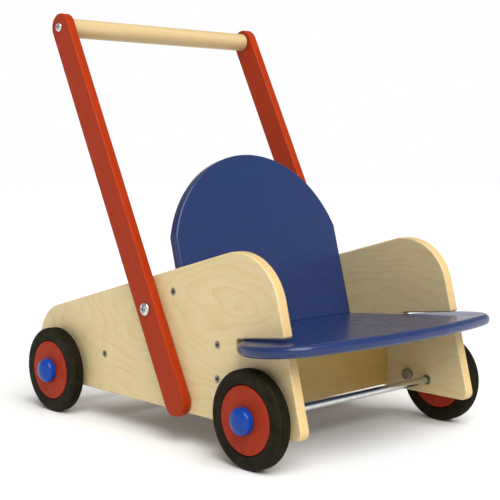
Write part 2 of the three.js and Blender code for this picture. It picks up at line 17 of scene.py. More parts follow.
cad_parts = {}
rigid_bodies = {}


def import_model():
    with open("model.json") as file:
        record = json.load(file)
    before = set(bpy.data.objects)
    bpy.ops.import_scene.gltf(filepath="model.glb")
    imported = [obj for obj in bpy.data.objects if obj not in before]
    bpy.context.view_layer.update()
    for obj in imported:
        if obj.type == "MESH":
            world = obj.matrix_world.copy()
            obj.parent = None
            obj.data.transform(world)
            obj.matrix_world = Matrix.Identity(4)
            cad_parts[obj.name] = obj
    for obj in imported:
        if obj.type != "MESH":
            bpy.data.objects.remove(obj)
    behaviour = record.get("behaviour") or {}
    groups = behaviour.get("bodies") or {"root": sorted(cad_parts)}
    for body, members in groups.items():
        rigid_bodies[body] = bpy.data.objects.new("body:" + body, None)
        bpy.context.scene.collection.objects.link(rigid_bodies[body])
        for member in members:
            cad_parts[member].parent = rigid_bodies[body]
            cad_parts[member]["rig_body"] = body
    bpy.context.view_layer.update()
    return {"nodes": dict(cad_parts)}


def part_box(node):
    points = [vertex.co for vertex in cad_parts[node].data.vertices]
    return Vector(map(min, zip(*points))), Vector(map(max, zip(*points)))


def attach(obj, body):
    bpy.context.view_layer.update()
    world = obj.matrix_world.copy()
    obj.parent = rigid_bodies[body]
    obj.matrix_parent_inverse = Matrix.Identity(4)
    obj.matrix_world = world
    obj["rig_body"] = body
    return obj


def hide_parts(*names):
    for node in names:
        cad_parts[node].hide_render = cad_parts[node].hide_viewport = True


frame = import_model()

bl_info = {
    "name": "Walker cart",
    "version": (1, 0, 0),
    "blender": (4, 5, 0),
    "location": "3D View > Sidebar > Walker",
    "description": "Builds a wooden walker cart around its packed frame",
    "category": "Object",
}

SIDES = {"left": -1, "right": 1}
AXLES = ("front", "rear")

MM = 0.001
PLIES = 9
CLEARANCE = 0.3 * MM  # between a piece and the hole or the piece that it sits in
SAG = 0.01 * MM  # how far a straight step may stay inside its arc
WIDEST_STEP = math.radians(30)  # turn between two points of a small arc
ROUND_STEPS = 6  # steps of a board's quarter-round edge
EDGE_BAND = 0.3 * MM  # flat strip beside the round edge, which keeps the face's shading flat
SHARP_ANGLE = math.radians(32)  # edges that turn more stay sharp
MERGE_DISTANCE = 0.001 * MM
HOLE_COLUMNS = 32
ROUND_COLUMNS = 128  # round a wheel
SMALL_COLUMNS = 64  # round a screw, cap or rod
FLUTES = 18  # round the head of a brake's hand screw
FLUSH_RISE = 0.05 * MM  # how far a flush head bulges
BORE_EDGE = 0.3 * MM  # rounded edges of bores and ridges
RIM_EDGE = 0.8 * MM  # rounded edges of discs, caps and hand screws
SHANK_END = 0.5 * MM  # rounded end of a bolt's or domed screw's shank
HEAD_ROWS = 28  # from the middle of a screw head to its rim
CAP_ROWS = 24  # from a hub cap's skirt to its top
BOARD_SCREWS = ("backrest_screw", "seat_screw", "front_board_screw", "rear_board_screw")
FLOOR_RINGS = 24
CROSS_VENEER = (0, 0.4, 0)  # the cross boards come from a plain part of the sheet


def linear(hex_colour):
    """An sRGB hex colour as linear red, green and blue."""
    share = np.array([int(hex_colour[i : i + 2], 16) for i in (0, 2, 4)]) / 255
    return tuple(np.where(share <= 0.04045, share / 12.92, ((share + 0.055) / 1.055) ** 2.4))


def length(name, description, millimetres):
    """A length that a user can change, in metres."""
    return FloatProperty(
        name=name, description=description, default=millimetres * MM, min=0, unit="LENGTH", precision=5
    )


def angle(name, description, degrees):
    """An angle that a user can change."""
    return FloatProperty(
        name=name, description=description, default=math.radians(degrees), unit="ROTATION"
    )


def colour(name, description, hex_colour):
    """A colour that a user can change."""
    return FloatVectorProperty(
        name=name, description=description, default=linear(hex_colour), min=0, max=1, size=3, subtype="COLOR"
    )


# ---------------------------------------------------------------- sizes and colours
class WalkerSizes(bpy.types.PropertyGroup):
    """Sizes that the nodes' boxes don't give."""

    board_rounding: length("Board rounding", "Rounded edge of the side boards, backrest and arms", 2)
    seat_rounding: length("Seat rounding", "Rounder edge of the seat", 5.4)
    cross_rounding: length("Cross board rounding", "Rounded edge of the two cross boards", 1)

    side_below_axle: length("Below axle", "Side board's lower edge, below the axles", 16)
    side_front_reach: length("Front reach", "Lower front corner, ahead of the front axle", 58.5)
    side_rear_reach: length("Rear reach", "Rear end, behind the rear axle", 54)
    side_front_lean: angle("Front lean", "Lean of the side board's front edge", 14.35)
    side_rear_rise: length("Rear rise", "Upper rear corner, above the tyre", 14.3)
    nose_rise: length("Nose rise", "Upper front corner, above the seat at the axle", 99.8)
    nose_radius: length("Nose radius", "Upper front corner", 60)
    rear_top_radius: length("Rear top radius", "Upper rear corner", 50)
    rear_foot_radius: length("Rear foot radius", "Lower rear corner", 25)
    front_foot_radius: length("Front foot radius", "Lower front corner", 9)
    slot_corner: length("Slot corner", "Corners of the slot that takes the seat", 3)
    slot_depth: length("Slot depth", "Closed end of the slot, behind the front axle", 36.5)
    slot_flare: angle("Slot flare", "How much the slot opens up, more than the seat's tilt", 1.8)
    slot_headroom: length("Slot headroom", "Above the seat at the slot's closed end", 1)

    seat_above_tyre: length("Seat above tyre", "Seat's underside above the front tyre", 13.2)
    seat_tilt: angle("Seat tilt", "Front edge up", 5)
    seat_front_reach: length("Seat front", "Front edge, ahead of the front axle", 92)
    seat_arch_drop: length("Seat arch", "Front corners behind the middle of the front edge", 17.5)
    seat_corner_radius: length("Seat corner", "Radius of the front corners", 46)
    seat_ear_flat: length("Seat ear flat", "Straight stretch at the widest part", 4.4)
    seat_depth: length("Seat depth", "Rear edge, behind the front axle", 131)

    back_lean: angle("Backrest lean", "From upright", 15)
    back_foot: length("Backrest foot", "Front face on the seat, behind the front axle", 116.5)
    back_shoulder: length("Backrest shoulder", "Straight sides, measured up the board", 108)
    back_height: length("Backrest height", "Measured up the board", 198)

    arm_width: length("Arm width", "Width of the push arms", 32)
    rod_end: length("Rod end", "Rounded edge at each end of the push rod", 1)
    axle_end: length("Axle end", "Rounded edge at each end of an axle", 0.5)
    ring_edge: length("Ring edge", "Rounded outer edge of bushes and spacers", 0.4)
    ring_bore_edge: length("Ring bore edge", "Rounded edge of their bores", 0.2)
    arm_below_bolt: length("Arm below bolt", "Centre of the lower round end, below the bolt", 105.4)

    screw_head: length("Screw head", "Radius of a board screw's countersunk head", 4)
    screw_shank: length("Screw shank", "Radius of a board screw's shank", 2)
    screw_land: length("Screw land", "Straight rim of a board screw's head", 0.4)
    seat_screw_head: length("Seat screw head", "Countersink under the seat", 4.3)
    bolt_head: length("Bolt head", "Radius of an arm bolt's domed head", 7.3)
    bolt_rise: length("Bolt rise", "Height of an arm bolt's head", 3.4)
    bolt_shank: length("Bolt shank", "Radius of an arm bolt's shank", 3)
    head_rim: length("Head rim", "Straight rim of a domed head", 0.35)
    foot_screw_inset: length("Foot screw", "Head's centre, behind the front of the screw's box", 4.2)
    nut_head: length("Nut head", "Radius of a sleeve nut's head", 7)
    nut_rise: length("Nut rise", "Height of a sleeve nut's head", 2.4)
    nut_shank: length("Nut shank", "Radius of a sleeve nut's sleeve", 4.6)
    rod_screw_head: length("Rod screw head", "Radius of a rod screw's domed head", 5.3)
    rod_screw_rise: length("Rod screw rise", "Height of a rod screw's head", 2.6)
    rod_screw_shank: length("Rod screw shank", "Radius of a rod screw's shank", 2.2)

    disc_seat: length("Disc seat", "Radius on which the tyre sits", 34.5)
    disc_ridge: length("Disc ridge", "Ridge round the disc, which keeps the tyre on", 1.5)
    disc_ridge_foot: length("Ridge foot", "Half the width of the ridge on the disc", 3.5)
    disc_ridge_top: length("Ridge top", "Half the width of the ridge at its top", 2.75)
    disc_edge: length("Disc edge", "Rounded outer edge of a disc", 1)
    tyre_recess: length("Tyre recess", "How far the tyre's inner edge is sunk beside the disc", 2.2)
    tyre_recess_width: length("Recess width", "Width of that sunk edge", 1.1)
    tyre_sidewall_rounding: length("Sidewall", "Rounding from sidewall to shoulder", 2)
    tyre_shoulder: length("Tyre shoulder", "How far the tread drops towards the sidewalls", 2.8)
    tread_groove: length("Tread groove", "Width of the grooves round the tread", 1.5)
    tread_depth: length("Tread depth", "Depth of the grooves round the tread", 1.4)
    tread_pitch: length("Tread pitch", "From one groove to the next", 2.9)
    cap_skirt: length("Cap skirt", "Straight part of a hub cap, below its dome", 5)
    brake_head_length: length("Brake head", "Knurled head of the brake's hand screw", 5)
    brake_shank: length("Brake shank", "Radius of the hand screw's shank", 3)
    brake_flute: length("Brake flute", "Half the depth of the flutes round its head", 0.2)
    pad_socket: length("Pad socket", "Depth of the hole that takes the shank's end", 1.8)
    pad_edge: length("Pad edge", "Rounded edge of the felt pad", 0.6)


class WalkerColours(bpy.types.PropertyGroup):
    """Colours of the finishes."""

    birch: colour("Birch", "Face veneer", "D9C89A")
    birch_figure: colour("Birch figure", "Late wood in the face veneer", "C69C5E")
    # The next two colours are darker and warmer than the birch above: painted shade and painted warm bounce
    # light for the cross boards under the seat.
    painted_shade_birch: colour("Warm birch", "Face veneer of the cross boards", "C19F58")
    painted_shade_figure: colour("Warm birch figure", "Late wood in the cross boards", "A88346")
    ply: colour("Ply", "Plies along the board", "E4C890")
    cross_ply: colour("Cross ply", "Plies across the board", "D2AE70")
    glue: colour("Glue line", "Between two plies", "9A7440")
    red: colour("Red", "Lacquer of the push arms", "A2300A")
    blue: colour("Blue", "Lacquer of the seat and backrest", "1B2F5E")
    beech: colour("Beech", "Push rod and dowels", "C8B184")
    beech_fleck: colour("Beech fleck", "Rays and pores of the beech", "B98F58")
    disc: colour("Disc", "Paint of the wheel discs", "9F3219")
    rubber: colour("Rubber", "Tyres", "231F10")
    cap: colour("Cap", "Hub caps", "0A3E98")
    steel: colour("Steel", "Axles, bolts and handle screws", "D6D9D6")
    zinc: colour("Zinc", "Board screws", "96968C")
    dark_steel: colour("Dark steel", "Brake hand screws", "A6A8A2")
    nylon: colour("Nylon", "Bushes and spacers", "7A766E")
    felt: colour("Felt", "Brake pads", "4A4A4C")
    floor: colour("Floor", "Floor and backdrop", "F2F2F0")


class WalkerStage(bpy.types.PropertyGroup):
    """Camera and light."""

    azimuth: angle("Azimuth", "Direction that the camera looks in, from +Y towards +X", 43.049)
    elevation: angle("Elevation", "How far the camera looks down", 5.281)
    lens: FloatProperty(
        name="Lens", description="Focal length for a 36 mm sensor", default=81.106, unit="CAMERA"
    )
    stand: FloatVectorProperty(
        name="Camera place",
        description="Where the camera stands",
        default=(-0.888692, -0.941192, 0.316059),
        subtype="TRANSLATION",
        unit="LENGTH",
        precision=5,
    )
    floor_radius: length("Floor radius", "The floor is a disc", 8000)
    backdrop: FloatProperty(name="Backdrop", description="Brightness all round, near the floor", default=1.0)
    ceiling: FloatProperty(name="Ceiling", description="Brightness from above the backdrop up", default=0.35)
    key_power: FloatProperty(name="Key light", description="Brightness of the soft light", default=3.7)
    key_width: angle("Key width", "How wide the soft light looks from the walker", 50)
    key_direction: FloatVectorProperty(
        name="Key direction",
        description="Towards the soft light",
        default=(-0.2, -0.62, 0.8),
        subtype="DIRECTION",
    )


# ---------------------------------------------------------------- places from the frame
def middle(node):
    """Middle of a node's box."""
    low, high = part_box(node)
    return (low + high) / 2


def half_size(node):
    """Half the size of a node's box."""
    low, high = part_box(node)
    return (high - low) / 2


def across(node):
    """Smallest and largest distance of a node from the walker's middle plane."""
    low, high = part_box(node)
    return sorted((abs(low.x), abs(high.x)))


def seat_top(sizes, y):
    """Height of the seat's top at a place Y."""
    tyre_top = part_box("tyre_front_left")[1].z
    thickness = board_thickness() / math.cos(sizes.seat_tilt)
    over_axle = tyre_top + sizes.seat_above_tyre + thickness
    return over_axle - math.tan(sizes.seat_tilt) * (y - middle("front_axle").y)


def board_thickness():
    """Thickness of all the boards."""
    return 2 * half_size("side_board_left").x


def back_frame(sizes):
    """Foot of the backrest's front face, and the directions up the board and out of its front."""
    y = middle("front_axle").y + sizes.back_foot
    up = np.array([0, math.sin(sizes.back_lean), math.cos(sizes.back_lean)])
    front = np.array([0, -math.cos(sizes.back_lean), math.sin(sizes.back_lean)])
    return np.array([0, y, seat_top(sizes, y)]), up, front


# ---------------------------------------------------------------- outlines
def unit(vector):
    """The vector at length 1."""
    return vector / np.linalg.norm(vector)


def arc(centre, radius, start, end):
    """Points on a circle: centre + radius (cos t, sin t), with t from start to end.

    A step of s has a sag of radius (1 - cos s / 2).
    """
    widest = min(WIDEST_STEP, 2 * math.acos(max(0.0, 1 - SAG / radius)))
    steps = max(2, math.ceil(abs(end - start) / widest))
    turn = np.linspace(start, end, steps + 1)
    return np.array(centre) + radius * np.c_[np.cos(turn), np.sin(turn)]


def rounded(corners, closed=True):
    """A line through corners (x, y, radius), where each radius is an arc that touches both straights.

    The arc's ends are radius / tan(half the corner's angle) from the corner, and its centre is on the
    bisector, radius / sin(half the angle) away.
    """
    spots = np.array([corner[:2] for corner in corners], float)
    count = len(spots)
    points = []
    for i, (spot, radius) in enumerate(zip(spots, (corner[2] for corner in corners))):
        if radius == 0 or (not closed and i in (0, count - 1)):
            points.append(spot[None])
            continue
        before = unit(spots[i - 1] - spot)
        after = unit(spots[(i + 1) % count] - spot)
        half = math.acos(before @ after) / 2
        centre = spot + unit(before + after) * radius / math.sin(half)
        from_centre = spot + before * radius / math.tan(half) - centre
        start = math.atan2(from_centre[1], from_centre[0])
        turning = math.copysign(math.pi - 2 * half, after[0] * before[1] - after[1] * before[0])
        points.append(arc(centre, radius, start, start + turning))
    return np.concatenate(points)


def inset(outline, distance):
    """An anticlockwise outline moved inwards: a point moves by distance (n1 + n2) / (1 + n1 . n2).

    n1 and n2 are the inward normals of the edges before and after the point.
    """
    edge = np.roll(outline, -1, 0) - outline
    edge /= np.linalg.norm(edge, axis=1)[:, None]
    after = np.c_[-edge[:, 1], edge[:, 0]]
    before = np.roll(after, 1, 0)
    return outline + distance * (after + before) / (1 + (after * before).sum(1))[:, None]


# ---------------------------------------------------------------- surfaces
def grid_faces(rows, columns, first=0, ring=False):
    """Four-sided faces of a grid whose columns close on themselves, and whose rows do too if it is a ring."""
    i, j = np.meshgrid(np.arange(rows if ring else rows - 1), np.arange(columns), indexing="ij")
    below = (i + 1) % rows * columns
    beside = (j + 1) % columns
    corners = [i * columns + j, i * columns + beside, below + beside, below + j]
    return (np.stack(corners, -1).reshape(-1, 4) + first).tolist()


def slab(outline, thickness, rounding, holes=()):
    """A board: an outline swept through a thickness, with quarter-round edges, from height 0 up.

    At the angle a of the quarter round the section is the outline, inset by rounding (1 - sin a), at the
    height rounding (1 - cos a). A hole is (x, y, profile): its profile of (radius, height) runs from one
    face to the other, or ends inside the board at radius 0.
    """
    quarter = np.linspace(0, math.pi / 2, ROUND_STEPS + 1)
    insets = np.r_[rounding + EDGE_BAND, rounding * (1 - np.sin(quarter))]
    heights = np.r_[0, rounding * (1 - np.cos(quarter))]
    insets = np.r_[insets, insets[::-1]]
    heights = np.r_[heights, thickness - heights[::-1]]
    edge = np.stack([np.c_[inset(outline, d), np.full(len(outline), h)] for d, h in zip(insets, heights)])
    points = [edge.reshape(-1, 3)]
    faces = grid_faces(*edge.shape[:2])
    rims = {0: [np.arange(len(outline))], 1: [np.arange(len(outline)) + points[0].shape[0] - len(outline)]}
    # A quarter step off the axes, so that no three rim points of two holes lie in line.
    turn = 2 * math.pi * (np.arange(HOLE_COLUMNS) + 0.25) / HOLE_COLUMNS
    for x, y, profile in holes:
        radius, height = np.array(profile, float).T[:, :, None]
        first = sum(map(len, points))
        wall = np.stack(
            np.broadcast_arrays(x + radius * np.cos(turn), y + radius * np.sin(turn), height), -1
        )
        points.append(wall.reshape(-1, 3))
        faces += grid_faces(len(profile), HOLE_COLUMNS, first)
        for row in (0, len(profile) - 1):
            if profile[row][0] > 0:
                top = profile[row][1] > thickness / 2
                rims[top].append(np.arange(HOLE_COLUMNS) + first + row * HOLE_COLUMNS)
    points = np.concatenate(points)
    for loops in rims.values():
        order = np.concatenate(loops)
        filled = tessellate_polygon([[Vector(p) for p in points[loop]] for loop in loops])
        faces += [order[list(triangle)].tolist() for triangle in filled]
    return points, faces


def revolved(radius, along, start, direction, columns=SMALL_COLUMNS, ring=False):
    """A round surface: start + along d + radius (u cos t + v sin t), for t round the circle.

    d is the direction, and u and v are square to it. radius and along are a number for each row, or a
    number for each row and column. A ring's last row joins its first.
    """
    direction = unit(np.array(direction, float))
    u = unit(np.cross(direction, (0, 0, 1) if abs(direction[2]) < 0.9 else (0, 1, 0)))
    v = np.cross(direction, u)
    turn = np.linspace(0, 2 * math.pi, columns, endpoint=False)
    radius, along = (a[:, None] if a.ndim == 1 else a for a in (np.asarray(radius), np.asarray(along)))
    radius, along, turn = (a[..., None] for a in np.broadcast_arrays(radius, along, turn[None]))
    points = np.array(start) + along * direction + radius * (u * np.cos(turn) + v * np.sin(turn))
    return points.reshape(-1, 3), grid_faces(*points.shape[:2], ring=ring)


def turned(corners, start, direction, columns=SMALL_COLUMNS, ring=False):
    """A turned piece: a line through corners (radius, along, rounding), revolved about its axis."""
    radius, along = rounded(corners, closed=ring).T
    return revolved(radius, along, start, direction, columns, ring)


def rod_corners(half, end):
    """Corners of a plain rod of a box's half size, with rounded ends, as (radius, along, rounding)."""
    return [(0, -half.x, 0), (half.z, -half.x, end), (half.z, half.x, end), (0, half.x, 0)]


def cross_recess(radius, turn, head):
    """Depth of a driver's cross recess on a head: two arms, each of them a box with sloping walls.

    An arm is clip((half width - |x|) / slope) clip((half length - |y|) / slope), from 0 to 1.
    """
    # Shares of a cross recess for a driver, of the head's radius.
    half_width, half_length, slope, depth = 0.14 * head, 0.6 * head, 0.08 * head, 0.55 * head
    x, y = np.abs(radius * np.cos(turn)), np.abs(radius * np.sin(turn))
    arms = [
        np.clip((half_width - a) / slope + 1, 0, 1) * np.clip((half_length - b) / slope, 0, 1)
        for a, b in ((x, y), (y, x))
    ]
    return depth * np.maximum(*arms)


def head_rows(head, rise, bulge):
    """Rows of a screw head's top: height rise (1 - (r / head)^bulge)^(1 / 2), less its cross recess."""
    radius = np.linspace(0, head, HEAD_ROWS)
    dome = rise * np.sqrt(np.clip(1 - (radius / head) ** bulge, 0, 1))
    turn = np.linspace(0, 2 * math.pi, SMALL_COLUMNS, endpoint=False)
    radius, dome, turn = np.broadcast_arrays(radius[:, None], dome[:, None], turn[None])
    return radius, -dome + cross_recess(radius, turn, head)


def screw(head, rise, rim, bulge, below, start, direction):
    """A screw: a head with a cross recess, its straight rim, then a line through corners below it.

    Corners are (radius, along, rounding), and the underside of the head is at along 0.
    """
    radius, along = head_rows(head, rise - rim, bulge)
    rest = rounded([(head, 0, 0), *below], closed=False)
    rest = [np.repeat(column[:, None], SMALL_COLUMNS, 1) for column in rest.T]
    return revolved(np.vstack([radius, rest[0]]), np.vstack([along - rim, rest[1]]), start, direction)


# ---------------------------------------------------------------- pieces
def add_piece(node, shape, material, grain=None):
    """Makes a mesh of a shape's points and faces, with its faces outwards, and puts it in a node's place.

    grain is each point's place along the grain, across it and through the board.
    """
    name = f"{node}_finished"
    if name in bpy.data.objects:
        bpy.data.objects.remove(bpy.data.objects[name])
    points, faces = shape
    mesh = bpy.data.meshes.new(name)
    mesh.from_pydata(points, [], faces)
    if grain is not None:
        layer = mesh.attributes.new("grain", "FLOAT_VECTOR", "POINT")
        layer.data.foreach_set("vector", (grain / MM).astype(np.float32).ravel())
    edited = bmesh.new()
    edited.from_mesh(mesh)
    bmesh.ops.remove_doubles(edited, verts=edited.verts, dist=MERGE_DISTANCE)
    bmesh.ops.recalc_face_normals(edited, faces=edited.faces)
    edited.to_mesh(mesh)
    edited.free()
    mesh.shade_smooth()
    mesh.set_sharp_from_angle(angle=SHARP_ANGLE)
    mesh.materials.append(material)
    piece = bpy.data.objects.new(name, mesh)
    bpy.context.scene.collection.objects.link(piece)
    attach(piece, frame["nodes"][node]["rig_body"])
    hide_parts(node)
    return piece


def placed(points, origin, along, across_grain, through):
    """Points (along, across, through) put in the row frame: origin + a along + b across + c through."""
    return np.array(origin) + points @ np.array([along, across_grain, through], float)


def make_board(node, outline, rounding, holes, axes, material, veneer=(0, 0, 0)):
    """A board in its node's place. axes are its origin and the directions along, across and through it.

    veneer is the place on the sheet of veneer that the board is cut from.
    """
    points, faces = slab(outline, board_thickness(), rounding, holes)
    return add_piece(node, (placed(points, *axes), faces), material, grain=points + veneer)


def countersink(sizes, head, height, inwards, far_height):
    """Profile of a countersunk hole from the face at that height to the board's other face."""
    shank, land = sizes.screw_shank, sizes.screw_land
    depths = ((head, 0), (head, land), (shank, head - shank + land))
    profile = [(radius + CLEARANCE, height + inwards * depth) for radius, depth in depths]
    return [*profile, (shank + CLEARANCE, far_height)]


def node_material(node, material):
    """A node that is shown as it is gets a better material."""
    frame["nodes"][node].data.materials.clear()
    frame["nodes"][node].data.materials.append(material)


# ---------------------------------------------------------------- finishes
def fill_inputs(tree, node, inputs):
    """Gives a node's inputs their number or colour, or links them to another node's output."""
    for key, value in inputs.items():
        if isinstance(value, bpy.types.NodeSocket):
            tree.links.new(value, node.inputs[key])
        else:
            node.inputs[key].default_value = value


def add_node(tree, kind, inputs=None, out=0, **settings):
    """Adds a shader node with its settings and links, and gives one of its outputs."""
    node = tree.nodes.new("ShaderNode" + kind)
    for key, value in settings.items():
        setattr(node, key, value)
    fill_inputs(tree, node, inputs or {})
    return node.outputs[out]


def finish(build):
    """Turns a function that adds nodes to a tree, and gives the shader's inputs, into a finish.

    The material has the function's name. It is built the first time it is asked for, and found after that.
    """

    def found():
        name = build.__name__
        if name not in bpy.data.materials:
            material = bpy.data.materials.new(name)
            material.use_nodes = True
            tree = material.node_tree
            fill_inputs(tree, tree.nodes["Principled BSDF"], build(tree))
        return bpy.data.materials[name]

    return found


def colours():
    """The colours that the user has set."""
    return bpy.context.scene.walker_colours


def place_in_mm(tree, board=False):
    """Place in the row frame, or in a board along the grain, across it and through it, in millimetres."""
    if board:
        return add_node(tree, "Attribute", out="Vector", attribute_name="grain")
    place = add_node(tree, "TexCoord", out="Object")
    return add_node(tree, "Mapping", {0: place, "Scale": (1 / MM,) * 3})


def patches(tree, place, size, least=0.0, most=1.0, detail=2.0, spread=(0.3, 0.7)):
    """Soft patches of a size in millimetres: noise on place / size, whose spread is stretched to least..most.

    A size of None leaves that direction out, so the pattern runs straight through.
    """
    share = tuple(1 / one if one else 0 for one in size)
    stretched = add_node(tree, "Mapping", {0: place, "Scale": share})
    rough = add_node(tree, "TexNoise", {"Vector": stretched, "Scale": 1.0, "Detail": detail})
    return add_node(tree, "MapRange", {0: rough, 1: spread[0], 2: spread[1], 3: least, 4: most})


def even_paint(tree, paint, darker, patch, skin, depth, roughness, board=False, **others):
    """Shader inputs of one paint, plastic or metal that is a little uneven, as the real one is.

    Patches darken the colour down to darker times itself and take the roughness from one end of its
    range to the other. The skin is bumps of its size and depth. Sizes and depth are in millimetres.
    """
    place = place_in_mm(tree, board)
    share = patches(tree, place, patch, detail=3.0)
    shades = {0: share, 6: (*paint, 1), 7: (*(darker * part for part in paint), 1)}
    bumps = {"Height": patches(tree, place, skin), "Distance": depth * MM}
    return {
        "Base Color": add_node(tree, "Mix", shades, out=2, data_type="RGBA"),
        "Roughness": add_node(tree, "MapRange", {0: share, 3: roughness[0], 4: roughness[1]}),
        "Normal": add_node(tree, "Bump", bumps),
        **others,
    }


def plywood(tree, pale, figure):
    """Rotary-cut birch plywood, sanded and clear lacquered, with a figure of pale and darker lines.

    The knife cuts through the year rings at a slant, so the face shows nested ovals. Each oval is 27 mm
    of grain by 11 mm further out than the last, with a slow waver of about 130 x 55 mm. The plies are
    1.3 mm thick and show as stripes on the round edges: along the board, across it, along it, with a thin
    dark glue line between. Real birch fibres are 0.1 mm wide, and are drawn 0.9 mm wide to show.
    """
    grain = place_in_mm(tree, board=True)
    depth = add_node(tree, "SeparateXYZ", {0: grain}, out="Z")
    thickness = board_thickness() / MM

    # The inner face is another sheet of veneer, so its figure lies elsewhere.
    inner = add_node(tree, "Math", {0: depth, 1: thickness / 2}, operation="LESS_THAN")
    elsewhere = add_node(tree, "VectorMath", {0: (60, 150, 0), "Scale": inner}, operation="SCALE")
    veneer = add_node(tree, "VectorMath", {0: grain, 1: elsewhere}, operation="ADD")
    oval = {0: veneer, "Location": (122 / 27, -155 / 11, 0), "Scale": (1 / 27, 1 / 11, 0)}
    oval = add_node(tree, "Mapping", oval)
    out_from_middle = add_node(tree, "VectorMath", {0: oval}, "Value", operation="LENGTH")
    waver = patches(tree, veneer, (130, 55, None), 0, 7, detail=1.6, spread=(0, 1))
    rings = add_node(tree, "Math", {0: out_from_middle, 1: waver}, operation="ADD")
    # A year ring darkens slowly towards its end and stops there in a line.
    through_ring = add_node(tree, "Math", {0: rings}, operation="FRACT")
    line = add_node(tree, "Math", {0: through_ring, 1: 3.0}, operation="POWER")
    strength = patches(tree, veneer, (50, 20, None), 0.08, 0.38, spread=(0.35, 0.7))
    lines = add_node(tree, "Math", {0: line, 1: strength}, operation="MULTIPLY")
    fibres = patches(tree, veneer, (18, 0.9, None), 0, 0.26, detail=3.0, spread=(0.3, 0.75))
    clouds = patches(tree, veneer, (45, 22, None), 0, 0.12, spread=(0.4, 0.8))
    shade = add_node(tree, "Math", {0: lines, 1: fibres}, operation="ADD")
    shade = add_node(tree, "Math", {0: shade, 1: clouds}, operation="ADD")
    face = add_node(tree, "Mix", {0: shade, 6: (*pale, 1), 7: (*figure, 1)}, out=2, data_type="RGBA")

    wander = patches(tree, grain, (30, 30, 30), -0.15, 0.15, spread=(0.2, 0.8))
    in_plies = add_node(tree, "Math", {0: depth, 1: wander}, operation="ADD")
    in_plies = add_node(tree, "Math", {0: in_plies, 1: thickness / PLIES}, operation="DIVIDE")
    in_pair = add_node(tree, "Math", {0: in_plies, 1: 2.0}, operation="MODULO")
    crossed = add_node(tree, "Math", {0: in_pair, 1: 1.0}, operation="GREATER_THAN")
    along, cross, glue = ((*one, 1) for one in (colours().ply, colours().cross_ply, colours().glue))
    stripe = add_node(tree, "Mix", {0: crossed, 6: along, 7: cross}, out=2, data_type="RGBA")
    # The cut ends of the fibres make short streaks, 2 mm long.
    streaks = patches(tree, grain, (2, 2, 0.6), 0, 0.3, spread=(0.35, 0.75))
    stripe = add_node(tree, "Mix", {0: streaks, 6: stripe, 7: glue}, out=2, data_type="RGBA")
    from_border = add_node(tree, "Math", {0: in_plies, 1: 0.5}, operation="PINGPONG")
    at_border = add_node(tree, "Math", {0: from_border, 1: 0.08}, operation="LESS_THAN")
    glued = add_node(tree, "Math", {0: at_border, 1: 0.5}, operation="MULTIPLY")
    stripe = add_node(tree, "Mix", {0: glued, 6: stripe, 7: glue}, out=2, data_type="RGBA")
    from_middle = add_node(tree, "Math", {0: in_plies, 1: PLIES / 2}, operation="SUBTRACT")
    from_middle = add_node(tree, "Math", {0: from_middle}, operation="ABSOLUTE")
    inside = add_node(tree, "Math", {0: from_middle, 1: PLIES / 2 - 1}, operation="LESS_THAN")
    shown = add_node(tree, "Mix", {0: inside, 6: face, 7: stripe}, out=2, data_type="RGBA")
    bumps = add_node(tree, "Bump", {"Height": fibres, "Distance": 0.1 * MM})
    return {"Base Color": shown, "Normal": bumps, "Roughness": 0.42, "Specular IOR Level": 0.4}


@finish
def birch_plywood(tree):
    """Plywood of the side boards: pale faces."""
    return plywood(tree, colours().birch, colours().birch_figure)


@finish
def painted_shade_plywood(tree):
    """Plywood of the cross boards, coloured darker and warmer than the side boards: painted shade and painted
    warm bounce light from under the seat.
    """
    return plywood(tree, colours().painted_shade_birch, colours().painted_shade_figure)


@finish
def turned_beech(tree):
    """Beech, turned to a rod, sanded and clear lacquered.

    Warm and close-grained. Year rings run as soft bands along it, 4 mm wide, and rays as short darker
    flecks, which are 4 mm long on real beech and are drawn 0.7 mm wide to show.
    """
    place = place_in_mm(tree)
    flecks = patches(tree, place, (4, 0.7, 0.7), 0, 0.6, spread=(0.55, 0.8))
    rings = patches(tree, place, (180, 4, 4), 0, 0.35, spread=(0.35, 0.7))
    shade = add_node(tree, "Math", {0: flecks, 1: rings}, operation="ADD")
    shades = {0: shade, 6: (*colours().beech, 1), 7: (*colours().beech_fleck, 1)}
    return {
        "Base Color": add_node(tree, "Mix", shades, out=2, data_type="RGBA"),
        "Normal": add_node(tree, "Bump", {"Height": flecks, "Distance": 0.05 * MM}),
        "Roughness": 0.4,
        "Specular IOR Level": 0.3,
    }


@finish
def sprayed_red(tree):
    """Opaque satin lacquer, sprayed on the arms: clear red with a soft shine and the wood's faint pores.

    Pores of birch are 0.1 mm wide, and are drawn 0.8 mm wide to show.
    """
    patch, pores, soft = (12, 2.5, 2.5), (5, 0.8, 0.8), {"Specular IOR Level": 0.1}
    return even_paint(tree, colours().red, 0.8, patch, pores, 0.05, (0.3, 0.38), board=True, **soft)


@finish
def sprayed_blue(tree):
    """Opaque lacquer, sprayed and glossier, on the seat and backrest: deep blue that mirrors softly.

    The skin is the spray's orange peel, about 2 mm from one dimple to the next.
    """
    patch, peel, glossy = (30, 12, 12), (2.2, 2.2, 2.2), {"Specular IOR Level": 0.45}
    return even_paint(tree, colours().blue, 0.84, patch, peel, 0.0015, (0.22, 0.3), board=True, **glossy)


@finish
def painted_disc(tree):
    """Water-based paint on a turned wooden disc: matt red, a little chalky.

    The brush leaves a tooth of 1.2 mm.
    """
    matt = {"Specular IOR Level": 0.1}
    return even_paint(tree, colours().disc, 0.8, (6, 6, 6), (1.2, 1.2, 1.2), 0.05, (0.5, 0.6), **matt)


@finish
def moulded_rubber(tree):
    """Moulded natural rubber: dull brownish black, with a bloom in soft patches of about 9 mm.

    Its fine skin is 0.1 mm in a polished mould, and is drawn 0.8 mm to show.
    """
    dull = {"Specular IOR Level": 0.08}
    return even_paint(tree, colours().rubber, 0.55, (9, 9, 9), (0.8, 0.8, 0.8), 0.04, (0.5, 0.66), **dull)


